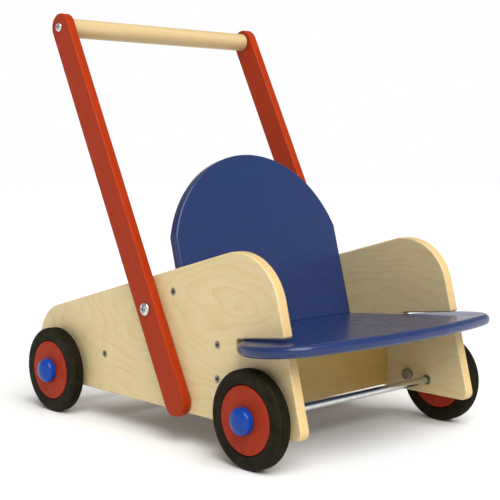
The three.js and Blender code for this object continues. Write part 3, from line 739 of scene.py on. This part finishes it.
@finish
def moulded_polyethylene(tree):
    """Injection-moulded polyethylene of the hub caps: glossy clear blue, with slow flow marks of 7 mm."""
    glossy = {"Specular IOR Level": 0.25}
    return even_paint(tree, colours().cap, 0.8, (7, 7, 7), (7, 7, 7), 0.08, (0.2, 0.3), **glossy)


@finish
def drawn_steel(tree):
    """Steel rod of the axles, cold drawn and zinc-plated: a bright mirror, faintly blurred round the rod.

    Polishing marks are 0.05 mm wide, and are drawn 3 mm wide because finer ones only flicker.
    """
    steel = colours().steel
    return even_paint(tree, steel, 0.85, (6, 6, 6), (3, 30, 30), 0.001, (0.14, 0.22), Metallic=1.0)


@finish
def nickel_steel(tree):
    """Pressed and nickel-plated steel of the bolts and handle screws: a bright, soft shine."""
    patch, skin = (3, 3, 3), (0.8, 0.8, 0.8)
    return even_paint(tree, colours().steel, 0.8, patch, skin, 0.005, (0.28, 0.4), Metallic=1.0)


@finish
def zinc_steel(tree):
    """Zinc-plated steel of the board screws: a dull, slightly cloudy grey."""
    patch, skin = (3, 3, 3), (0.8, 0.8, 0.8)
    return even_paint(tree, colours().zinc, 0.75, patch, skin, 0.01, (0.28, 0.45), Metallic=1.0)


@finish
def burnished_steel(tree):
    """Knurled and chemically blackened steel of the brake's hand screws: dark, with bright ridges."""
    dark = colours().dark_steel
    return even_paint(tree, dark, 0.7, (3, 3, 3), (0.8, 0.8, 0.8), 0.01, (0.25, 0.45), Metallic=1.0)


@finish
def moulded_nylon(tree):
    """Injection-moulded grey nylon of the bushes and spacers: dull, with a fine grain of 1 mm."""
    return even_paint(tree, colours().nylon, 0.85, (4, 4, 4), (1, 1, 1), 0.02, (0.42, 0.5))


@finish
def pressed_felt(tree):
    """Pressed wool felt of the brake pads: soft and matt.

    Wool fibres are 0.03 mm thick, and are drawn as tangled hairs of 0.5 mm to show.
    """
    soft = {"Sheen Weight": 0.3}
    return even_paint(tree, colours().felt, 0.55, (0.5, 0.5, 0.5), (0.5, 0.5, 0.5), 0.3, (0.9, 1.0), **soft)


@finish
def floor_paper(tree):
    """Matt white background paper, with a tooth of 2 mm."""
    return even_paint(tree, colours().floor, 0.99, (400, 400, 400), (2, 2, 2), 0.02, (0.85, 0.95))


# ---------------------------------------------------------------- boards
class WALKER_OT_side_boards(bpy.types.Operator):
    """Two side boards with a slot at the front that takes the seat"""

    bl_idname = "walker.side_boards"
    bl_label = "Side boards"
    bl_options = {"REGISTER", "UNDO"}

    def outline(self, sizes):
        """Outline in Y and Z. The front edge leans, and two lines of it bound the slot."""
        axle, rear = middle("front_axle"), middle("rear_axle")
        tyre_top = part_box("tyre_rear_left")[1].z
        bottom = axle.z - sizes.side_below_axle
        back = rear.y + sizes.side_rear_reach
        lean = math.tan(sizes.side_front_lean)
        slope = math.tan(sizes.seat_tilt)
        top = seat_top(sizes, axle.y)
        under = top - board_thickness() / math.cos(sizes.seat_tilt) - CLEARANCE
        flare = math.tan(sizes.seat_tilt + sizes.slot_flare)
        end_top = top - slope * sizes.slot_depth + sizes.slot_headroom
        slot_top = end_top + flare * sizes.slot_depth

        def on_front(height, rise):
            """Where the front edge meets a line of that height over the axle and that rise."""
            y = (lean * (height - bottom) - sizes.side_front_reach) / (1 - lean * rise)
            return axle.y + y, height + rise * y

        slot_end = axle.y + sizes.slot_depth
        return rounded(
            [
                (axle.y - sizes.side_front_reach, bottom, sizes.front_foot_radius),
                (back, bottom, sizes.rear_foot_radius),
                (back, tyre_top + sizes.side_rear_rise, sizes.rear_top_radius),
                (*on_front(top + sizes.nose_rise, 0), sizes.nose_radius),
                (*on_front(slot_top, -flare), sizes.slot_corner),
                (slot_end, end_top, sizes.slot_corner),
                (slot_end, under - slope * sizes.slot_depth, sizes.slot_corner),
                (*on_front(under, -slope), sizes.slot_corner),
            ]
        )

    def holes(self, sizes, side):
        """Holes for the screws, bolt, brake and bushes, as (Y, Z, profile) with 0 at the inner face."""
        thickness = board_thickness()
        outer = countersink(sizes, sizes.screw_head, thickness, -1, 0)
        inner = countersink(sizes, sizes.screw_head, 0, 1, thickness)
        profiles = {**dict.fromkeys(BOARD_SCREWS, outer), "arm_screw": inner}
        radii = {"arm_nut": sizes.nut_shank}
        for name in ("brake_insert", "axle_bush_front", "axle_bush_rear"):
            radii[name] = half_size(f"{name}_{side}").z
        for name, radius in radii.items():
            profiles[name] = [(radius + CLEARANCE, 0), (radius + CLEARANCE, thickness)]
        return [(*middle(f"{name}_{side}").yz, profile) for name, profile in profiles.items()]

    def execute(self, context):
        sizes = context.scene.walker_sizes
        for side, sign in SIDES.items():
            node_name = f"side_board_{side}"
            axes = ((sign * across(node_name)[0], 0, 0), (0, 1, 0), (0, 0, 1), (sign, 0, 0))
            rounding = sizes.board_rounding
            holes = self.holes(sizes, side)
            make_board(node_name, self.outline(sizes), rounding, holes, axes, birch_plywood())
        return {"FINISHED"}


class WALKER_OT_seat(bpy.types.Operator):
    """Seat with an arched front, round ears outside the side boards, and a plain back"""

    bl_idname = "walker.seat"
    bl_label = "Seat"
    bl_options = {"REGISTER", "UNDO"}

    def outline(self, sizes):
        """Outline from above: an arc across the front, then one at each corner and one at each ear."""
        half = half_size("seat_board").x
        narrow = across("side_board_left")[0] - CLEARANCE
        corner_x = half - sizes.seat_corner_radius
        corner_depth = sizes.seat_arch_drop + sizes.seat_corner_radius
        corner_y = corner_depth - sizes.seat_front_reach
        squares = corner_x**2 + corner_depth**2 - sizes.seat_corner_radius**2
        arch_radius = squares / (2 * sizes.seat_arch_drop)
        arch_y = arch_radius - sizes.seat_front_reach
        arch = math.atan2(corner_x, arch_y - corner_y)
        ear_y = corner_y + sizes.seat_ear_flat
        ear_radius = sizes.slot_depth - 2 * CLEARANCE - ear_y
        ear_x = half - ear_radius
        ear_end = math.acos((narrow - ear_x) / ear_radius)
        down = -math.pi / 2
        front = arc((0, arch_y), arch_radius, down, down + arch)
        corner = arc((corner_x, corner_y), sizes.seat_corner_radius, down + arch, 0)
        ear = arc((ear_x, ear_y), ear_radius, 0, ear_end)
        right = np.concatenate([front, corner[1:], ear, [(narrow, sizes.seat_depth)]])
        left = right[:0:-1] * (-1, 1)
        return np.concatenate([right, left])

    def execute(self, context):
        sizes = context.scene.walker_sizes
        thickness = board_thickness()
        axle_y = middle("front_axle").y
        back = np.array([0, math.cos(sizes.seat_tilt), -math.sin(sizes.seat_tilt)])
        up = np.array([0, math.sin(sizes.seat_tilt), math.cos(sizes.seat_tilt)])
        origin = np.array([0, axle_y, seat_top(sizes, axle_y)]) - thickness * up
        holes = []
        for side in SIDES:
            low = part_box(f"back_foot_screw_{side}")[0]
            foot = middle(f"back_foot_screw_{side}")
            place = np.array([foot.x, low.y + sizes.foot_screw_inset, low.z]) - origin
            profile = countersink(sizes, sizes.seat_screw_head, 0, 1, thickness)
            holes.append((place[0], place @ back, profile))
        axes = (origin, (1, 0, 0), back, up)
        make_board("seat_board", self.outline(sizes), sizes.seat_rounding, holes, axes, sprayed_blue())
        return {"FINISHED"}


class WALKER_OT_backrest(bpy.types.Operator):
    """Backrest with straight sides and one arc over the top, cut off along the seat"""

    bl_idname = "walker.backrest"
    bl_label = "Backrest"
    bl_options = {"REGISTER", "UNDO"}

    def execute(self, context):
        sizes = context.scene.walker_sizes
        thickness = board_thickness()
        half = across("side_board_left")[0] - CLEARANCE
        rise = sizes.back_height - sizes.back_shoulder
        radius = (half**2 + rise**2) / (2 * rise)
        centre = sizes.back_height - radius
        end = math.atan2(sizes.back_shoulder - centre, half)
        foot = [(-half, -thickness), (half, -thickness)]
        outline = np.concatenate([foot, arc((0, centre), radius, end, math.pi - end)])
        points, faces = slab(outline, thickness, sizes.board_rounding)
        origin, up, front = back_frame(sizes)
        seat_normal = np.array([0, math.sin(sizes.seat_tilt), math.cos(sizes.seat_tilt)])
        # The seat's top cuts the board at up = (clearance - front * (front . n)) / (up . n).
        in_front = points[:, 2] - thickness
        cut = (CLEARANCE - in_front * (front @ seat_normal)) / (up @ seat_normal)
        points[:, 1] = np.maximum(points[:, 1], cut)
        spots = placed(points, origin - thickness * front, (1, 0, 0), up, front)
        add_piece("backrest_board", (spots, faces), sprayed_blue(), grain=points)
        return {"FINISHED"}


class WALKER_OT_cross_boards(bpy.types.Operator):
    """Two cross boards between the side boards, under the seat and ahead of the rear axle"""

    bl_idname = "walker.cross_boards"
    bl_label = "Cross boards"
    bl_options = {"REGISTER", "UNDO"}

    def execute(self, context):
        for axle in AXLES:
            name = f"{axle}_cross_board"
            low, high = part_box(name)
            outline = np.array([(low.x, low.z), (high.x, low.z), (high.x, high.z), (low.x, high.z)])
            axes = ((0, low.y, 0), (1, 0, 0), (0, 0, 1), (0, 1, 0))
            rounding = context.scene.walker_sizes.cross_rounding
            # The cross boards' plywood carries painted shade: its colours are darker and warmer than the side
            # boards'.
            make_board(name, outline, rounding, (), axes, painted_shade_plywood(), CROSS_VENEER)
        return {"FINISHED"}


# ---------------------------------------------------------------- handle
class WALKER_OT_push_arms(bpy.types.Operator):
    """Two flat push arms with round ends, bolted outside the side boards"""

    bl_idname = "walker.push_arms"
    bl_label = "Push arms"
    bl_options = {"REGISTER", "UNDO"}

    def execute(self, context):
        sizes = context.scene.walker_sizes
        half = sizes.arm_width / 2
        thickness = board_thickness()
        for side, sign in SIDES.items():
            name = f"push_arm_{side}"
            bolt = np.array(middle(f"arm_bolt_{side}").yz)
            rod = np.array(middle("handle_rod").yz)
            up = unit(rod - bolt)
            foot = bolt - sizes.arm_below_bolt * up
            tall = np.linalg.norm(rod - foot)
            quarter = math.pi / 2
            lower, upper = arc((0, 0), half, quarter, 3 * quarter), arc((tall, 0), half, -quarter, quarter)
            outline = np.concatenate([lower, upper])
            holes = [
                (place, 0, [(shank + CLEARANCE, 0), (shank + CLEARANCE, thickness)])
                for place, shank in ((sizes.arm_below_bolt, sizes.bolt_shank), (tall, sizes.rod_screw_shank))
            ]
            inner = sign * across(name)[0]
            axes = ((inner, *foot), (0, *up), (0, -up[1], up[0]), (sign, 0, 0))
            make_board(name, outline, sizes.board_rounding, holes, axes, sprayed_red())
        return {"FINISHED"}


class WALKER_OT_push_rod(bpy.types.Operator):
    """Round push rod between the arms"""

    bl_idname = "walker.push_rod"
    bl_label = "Push rod"
    bl_options = {"REGISTER", "UNDO"}

    def execute(self, context):
        sizes = context.scene.walker_sizes
        half = half_size("handle_rod")
        centre = middle("handle_rod")
        add_piece("handle_rod", turned(rod_corners(half, sizes.rod_end), centre, (1, 0, 0)), turned_beech())
        return {"FINISHED"}


# ---------------------------------------------------------------- fasteners
class WALKER_OT_fasteners(bpy.types.Operator):
    """Countersunk screws of the boards, domed bolts, sleeve nuts and rod screws of the arms"""

    bl_idname = "walker.fasteners"
    bl_label = "Fasteners"
    bl_options = {"REGISTER", "UNDO"}

    def countersunk(self, sizes, node_name, way):
        """A flush screw that goes in the way given along X: cone below the head, shank and blunt tip."""
        head, shank, land = sizes.screw_head, sizes.screw_shank, sizes.screw_land
        centre, half_x = middle(node_name), half_size(node_name).x
        reach = 2 * half_x
        below = [(head, land, 0), (shank, head - shank + land, 0), (shank, reach - shank, 0), (0, reach, 0)]
        start = (centre.x - way * half_x, *centre.yz)
        add_piece(node_name, screw(head, FLUSH_RISE, 0, 2, below, start, (way, 0, 0)), zinc_steel())

    def domed(self, sizes, node_name, way, head, rise, bulge, shank):
        """A screw or bolt with a domed head that stands on the board."""
        centre, half_x = middle(node_name), half_size(node_name).x
        reach = 2 * half_x - rise
        below = [(shank, 0, 0), (shank, reach, SHANK_END), (0, reach, 0)]
        start = (centre.x - way * (half_x - rise), *centre.yz)
        shape = screw(head, rise, sizes.head_rim, bulge, below, start, (way, 0, 0))
        add_piece(node_name, shape, nickel_steel())

    def execute(self, context):
        sizes = context.scene.walker_sizes
        bolt = (sizes.bolt_head, sizes.bolt_rise, 2, sizes.bolt_shank)
        nut = (sizes.nut_head, sizes.nut_rise, 2.4, sizes.nut_shank)
        rod_screw = (sizes.rod_screw_head, sizes.rod_screw_rise, 2.6, sizes.rod_screw_shank)
        for side, sign in SIDES.items():
            for name in BOARD_SCREWS:
                self.countersunk(sizes, f"{name}_{side}", -sign)
            self.countersunk(sizes, f"arm_screw_{side}", sign)
            self.domed(sizes, f"arm_bolt_{side}", -sign, *bolt)
            self.domed(sizes, f"arm_nut_{side}", sign, *nut)
            self.domed(sizes, f"handle_screw_{side}", -sign, *rod_screw)
            node_material(f"back_foot_screw_{side}", zinc_steel())
            for axle in AXLES:
                node_material(f"{axle}_board_dowel_{side}", turned_beech())
        return {"FINISHED"}


# ---------------------------------------------------------------- wheels
class WALKER_OT_axles(bpy.types.Operator):
    """Steel axles, and the bushes and spacers on them"""

    bl_idname = "walker.axles"
    bl_label = "Axles"
    bl_options = {"REGISTER", "UNDO"}

    def execute(self, context):
        sizes = context.scene.walker_sizes
        for axle in AXLES:
            name = f"{axle}_axle"
            half, centre = half_size(name), middle(name)
            add_piece(name, turned(rod_corners(half, sizes.axle_end), centre, (1, 0, 0)), drawn_steel())
            bore = half.z + CLEARANCE
            for side in SIDES:
                for ring in ("axle_bush", "wheel_spacer"):
                    name = f"{ring}_{axle}_{side}"
                    half, centre = half_size(name), middle(name)
                    corners = [
                        (bore, -half.x, sizes.ring_bore_edge),
                        (half.z, -half.x, sizes.ring_edge),
                        (half.z, half.x, sizes.ring_edge),
                        (bore, half.x, sizes.ring_bore_edge),
                    ]
                    shape = turned(corners, centre, (1, 0, 0), ring=True)
                    add_piece(name, shape, moulded_nylon())
        return {"FINISHED"}


class WALKER_OT_wheels(bpy.types.Operator):
    """Painted discs with rubber tyres that have grooves round the tread"""

    bl_idname = "walker.wheels"
    bl_label = "Wheels"
    bl_options = {"REGISTER", "UNDO"}

    def tyre_corners(self, sizes, radius, half):
        """Section of a tyre as (radius, along, rounding): sidewalls, shoulders, and a crown with grooves."""
        seat = sizes.disc_seat + CLEARANCE
        shoulder = radius - sizes.tyre_shoulder
        crown = radius - 0.25 * MM
        groove = sizes.tread_groove
        edge = half - 0.4 * MM
        upper = [
            (seat, half - sizes.tyre_recess, 0.2 * MM),
            (seat + sizes.tyre_recess_width, half, 0.4 * MM),
            (shoulder - 2 * MM, half, sizes.tyre_sidewall_rounding),
            (shoulder, edge, 0.5 * MM),
            (radius - sizes.tyre_shoulder / 3, half - 1.6 * MM, 0.8 * MM),
            (crown, half - 2.6 * MM, 0.6 * MM),
        ]
        for step in (1.5, 0.5):
            place = step * sizes.tread_pitch
            top = radius if step < 1 else radius - 0.1 * MM
            upper += [
                (top, place + groove / 2, 0.2 * MM),
                (top - sizes.tread_depth, place + groove / 4, 0.1 * MM),
                (top - sizes.tread_depth, place - groove / 4, 0.1 * MM),
                (radius, place - groove / 2, 0.2 * MM),
            ]
        lower = [(r, -x, rounding) for r, x, rounding in reversed(upper)]
        top, foot_half = seat + sizes.disc_ridge, sizes.disc_ridge_foot + CLEARANCE
        top_half = sizes.disc_ridge_top + CLEARANCE
        groove_for_ridge = [(seat, -foot_half), (top, -top_half), (top, top_half), (seat, foot_half)]
        return [*upper, *lower, *((*corner, BORE_EDGE) for corner in groove_for_ridge)]

    def disc_corners(self, sizes, bore, inner, outer, middle_plane):
        """Section of a disc as (radius, along, rounding), with a ridge that keeps the tyre on."""
        seat = sizes.disc_seat
        top = seat + sizes.disc_ridge
        foot_half, top_half = sizes.disc_ridge_foot, sizes.disc_ridge_top
        return [
            (bore, inner, BORE_EDGE),
            (seat, inner, RIM_EDGE),
            (seat, middle_plane - foot_half, BORE_EDGE),
            (top, middle_plane - top_half, BORE_EDGE),
            (top, middle_plane + top_half, BORE_EDGE),
            (seat, middle_plane + foot_half, BORE_EDGE),
            (seat, outer, sizes.disc_edge),
            (bore, outer, BORE_EDGE),
        ]

    def execute(self, context):
        sizes = context.scene.walker_sizes
        for axle in AXLES:
            bore = half_size(f"{axle}_axle").z + CLEARANCE
            for side, sign in SIDES.items():
                tyre, disc = f"tyre_{axle}_{side}", f"wheel_disc_{axle}_{side}"
                half, centre = half_size(tyre), middle(tyre)
                out = (sign, 0, 0)
                corners = self.tyre_corners(sizes, half.z, half.x)
                shape = turned(corners, centre, out, ROUND_COLUMNS, ring=True)
                add_piece(tyre, shape, moulded_rubber())
                inner, outer = across(disc)
                axis = (0, centre.y, centre.z)
                corners = self.disc_corners(sizes, bore, inner, outer, abs(centre.x))
                shape = turned(corners, axis, out, ROUND_COLUMNS, ring=True)
                add_piece(disc, shape, painted_disc())
        return {"FINISHED"}


class WALKER_OT_hub_caps(bpy.types.Operator):
    """Push-on hub caps with a straight skirt and a domed top"""

    bl_idname = "walker.hub_caps"
    bl_label = "Hub caps"
    bl_options = {"REGISTER", "UNDO"}

    def execute(self, context):
        sizes = context.scene.walker_sizes
        for axle in AXLES:
            bore = half_size(f"{axle}_axle").z + CLEARANCE
            for side, sign in SIDES.items():
                name = f"hub_cap_{axle}_{side}"
                radius = half_size(name).z
                inner, outer = across(name)
                centre = middle(name)
                axle_end = across(f"{axle}_axle")[1] + CLEARANCE
                skirt = inner + sizes.cap_skirt
                turn = np.linspace(0, math.pi / 2, CAP_ROWS)
                dome = np.c_[radius * np.cos(turn), skirt + (outer - skirt) * np.sin(turn)]
                rim = [(bore, inner, 0), (radius, inner, RIM_EDGE), (*dome[0], 0)]
                inside = [(0, axle_end), (bore, axle_end)]
                profile = np.concatenate([inside, rounded(rim, closed=False), dome[1:]])
                shape = revolved(profile[:, 0], profile[:, 1], (0, centre.y, centre.z), (sign, 0, 0))
                add_piece(name, shape, moulded_polyethylene())
        return {"FINISHED"}


# ---------------------------------------------------------------- brakes
class WALKER_OT_brakes(bpy.types.Operator):
    """Knurled hand screws, their threaded inserts and the felt pads beside the front wheels"""

    bl_idname = "walker.brakes"
    bl_label = "Brakes"
    bl_options = {"REGISTER", "UNDO"}

    def execute(self, context):
        sizes = context.scene.walker_sizes
        shank = sizes.brake_shank
        for side, sign in SIDES.items():
            out = (sign, 0, 0)
            name = f"brake_screw_{side}"
            centre = middle(name)
            start = (0, centre.y, centre.z)
            inner, tip = across(name)
            head = half_size(name).z
            body = inner + sizes.brake_head_length
            corners = [
                (0, inner, 0),
                (head, inner, RIM_EDGE),
                (head, body, RIM_EDGE / 2),
                (shank, body, 0),
                (shank, tip, RIM_EDGE / 2),
                (0, tip, 0),
            ]
            radius, along = rounded(corners, closed=False).T
            turn = np.linspace(0, 2 * math.pi, ROUND_COLUMNS, endpoint=False)
            # The flutes of the knurl are flute depth (1 - cos(flutes t)) deep, between the head's two ends.
            fluted = (radius > head - 0.9 * MM) & (along > inner + 0.3 * MM)
            flutes = sizes.brake_flute * (1 - np.cos(FLUTES * turn))
            radius = radius[:, None] - fluted[:, None] * flutes
            shape = revolved(radius, along, start, out, ROUND_COLUMNS)
            add_piece(name, shape, burnished_steel())

            name = f"brake_pad_{side}"
            inner, outer = across(name)
            socket = shank + CLEARANCE
            depth = inner + sizes.pad_socket
            edge = sizes.pad_edge
            corners = [
                (0, depth, 0),
                (socket, depth, 0),
                (socket, inner, 0.2 * MM),
                (half_size(name).z, inner, edge),
                (half_size(name).z, outer, edge),
                (0, outer, 0),
            ]
            add_piece(name, turned(corners, start, out), pressed_felt())

            name = f"brake_insert_{side}"
            inner, outer = across(name)
            corners = [
                (socket, inner, 0),
                (half_size(name).z, inner, BORE_EDGE),
                (half_size(name).z, outer, BORE_EDGE),
                (socket, outer, 0),
            ]
            add_piece(name, turned(corners, start, out, ring=True), zinc_steel())
        return {"FINISHED"}


# ---------------------------------------------------------------- stage
class WALKER_OT_stage(bpy.types.Operator):
    """Pale floor, soft light from above the camera and all round, and the camera"""

    bl_idname = "walker.stage"
    bl_label = "Stage"
    bl_options = {"REGISTER", "UNDO"}

    def execute(self, context):
        scene = context.scene
        settings = scene.walker_stage
        radius = np.r_[0, np.geomspace(0.05, settings.floor_radius, FLOOR_RINGS)]
        points, faces = revolved(radius, np.zeros_like(radius), (0, 0, 0), (0, 0, 1))
        mesh = bpy.data.meshes.new("floor")
        mesh.from_pydata(points, [], faces)
        mesh.validate()
        mesh.materials.append(floor_paper())
        floor = bpy.data.objects.new("floor", mesh)
        scene.collection.objects.link(floor)

        world = bpy.data.worlds.new("surroundings")
        world.use_nodes = True
        tree = world.node_tree
        # The backdrop's light ends between 7 and 16 degrees above the floor, whose sines are 0.13 and 0.27.
        direction = add_node(tree, "TexCoord", out="Generated")
        upwards = add_node(tree, "SeparateXYZ", {0: direction}, out="Z")
        ends = {0: upwards, 1: 0.13, 2: 0.27, 3: settings.backdrop, 4: settings.ceiling}
        light = {"Strength": add_node(tree, "MapRange", ends), "Color": (1, 1, 1, 1)}
        fill_inputs(tree, tree.nodes["Background"], light)
        scene.world = world

        key = bpy.data.lights.new("key_light", "SUN")
        key.energy = settings.key_power
        key.angle = settings.key_width
        key_light = bpy.data.objects.new("key_light", key)
        key_light.rotation_euler = Vector(settings.key_direction).to_track_quat("Z", "Y").to_euler()
        scene.collection.objects.link(key_light)

        lens = bpy.data.cameras.new("camera")
        lens.lens = settings.lens
        camera = bpy.data.objects.new("camera", lens)
        camera.location = settings.stand
        camera.rotation_euler = (math.pi / 2 - settings.elevation, 0, -settings.azimuth)
        scene.collection.objects.link(camera)
        scene.camera = camera
        scene.view_settings.view_transform = "Standard"
        return {"FINISHED"}


# ---------------------------------------------------------------- add-on
class WALKER_PT_panel(bpy.types.Panel):
    """Sizes, colours and pieces of the walker"""

    bl_label = "Walker"
    bl_idname = "WALKER_PT_panel"
    bl_space_type = "VIEW_3D"
    bl_region_type = "UI"
    bl_category = "Walker"

    def draw(self, context):
        for operator in OPERATORS:
            self.layout.operator(operator.bl_idname)
        for group in (context.scene.walker_sizes, context.scene.walker_colours, context.scene.walker_stage):
            box = self.layout.box()
            for name in type(group).__annotations__:
                box.prop(group, name)


GROUPS = {"walker_sizes": WalkerSizes, "walker_colours": WalkerColours, "walker_stage": WalkerStage}
OPERATORS = (
    WALKER_OT_side_boards,
    WALKER_OT_seat,
    WALKER_OT_backrest,
    WALKER_OT_cross_boards,
    WALKER_OT_push_arms,
    WALKER_OT_push_rod,
    WALKER_OT_fasteners,
    WALKER_OT_axles,
    WALKER_OT_wheels,
    WALKER_OT_hub_caps,
    WALKER_OT_brakes,
    WALKER_OT_stage,
)


def register():
    for each in (*GROUPS.values(), *OPERATORS, WALKER_PT_panel):
        bpy.utils.register_class(each)
    for name, group in GROUPS.items():
        setattr(bpy.types.Scene, name, PointerProperty(type=group))


def unregister():
    for name in GROUPS:
        delattr(bpy.types.Scene, name)
    for each in reversed((*GROUPS.values(), *OPERATORS, WALKER_PT_panel)):
        bpy.utils.unregister_class(each)


def main():
    register()
    for operator in OPERATORS:
        family, name = operator.bl_idname.split(".")
        getattr(getattr(bpy.ops, family), name)()


if __name__ == "__main__":
    main()
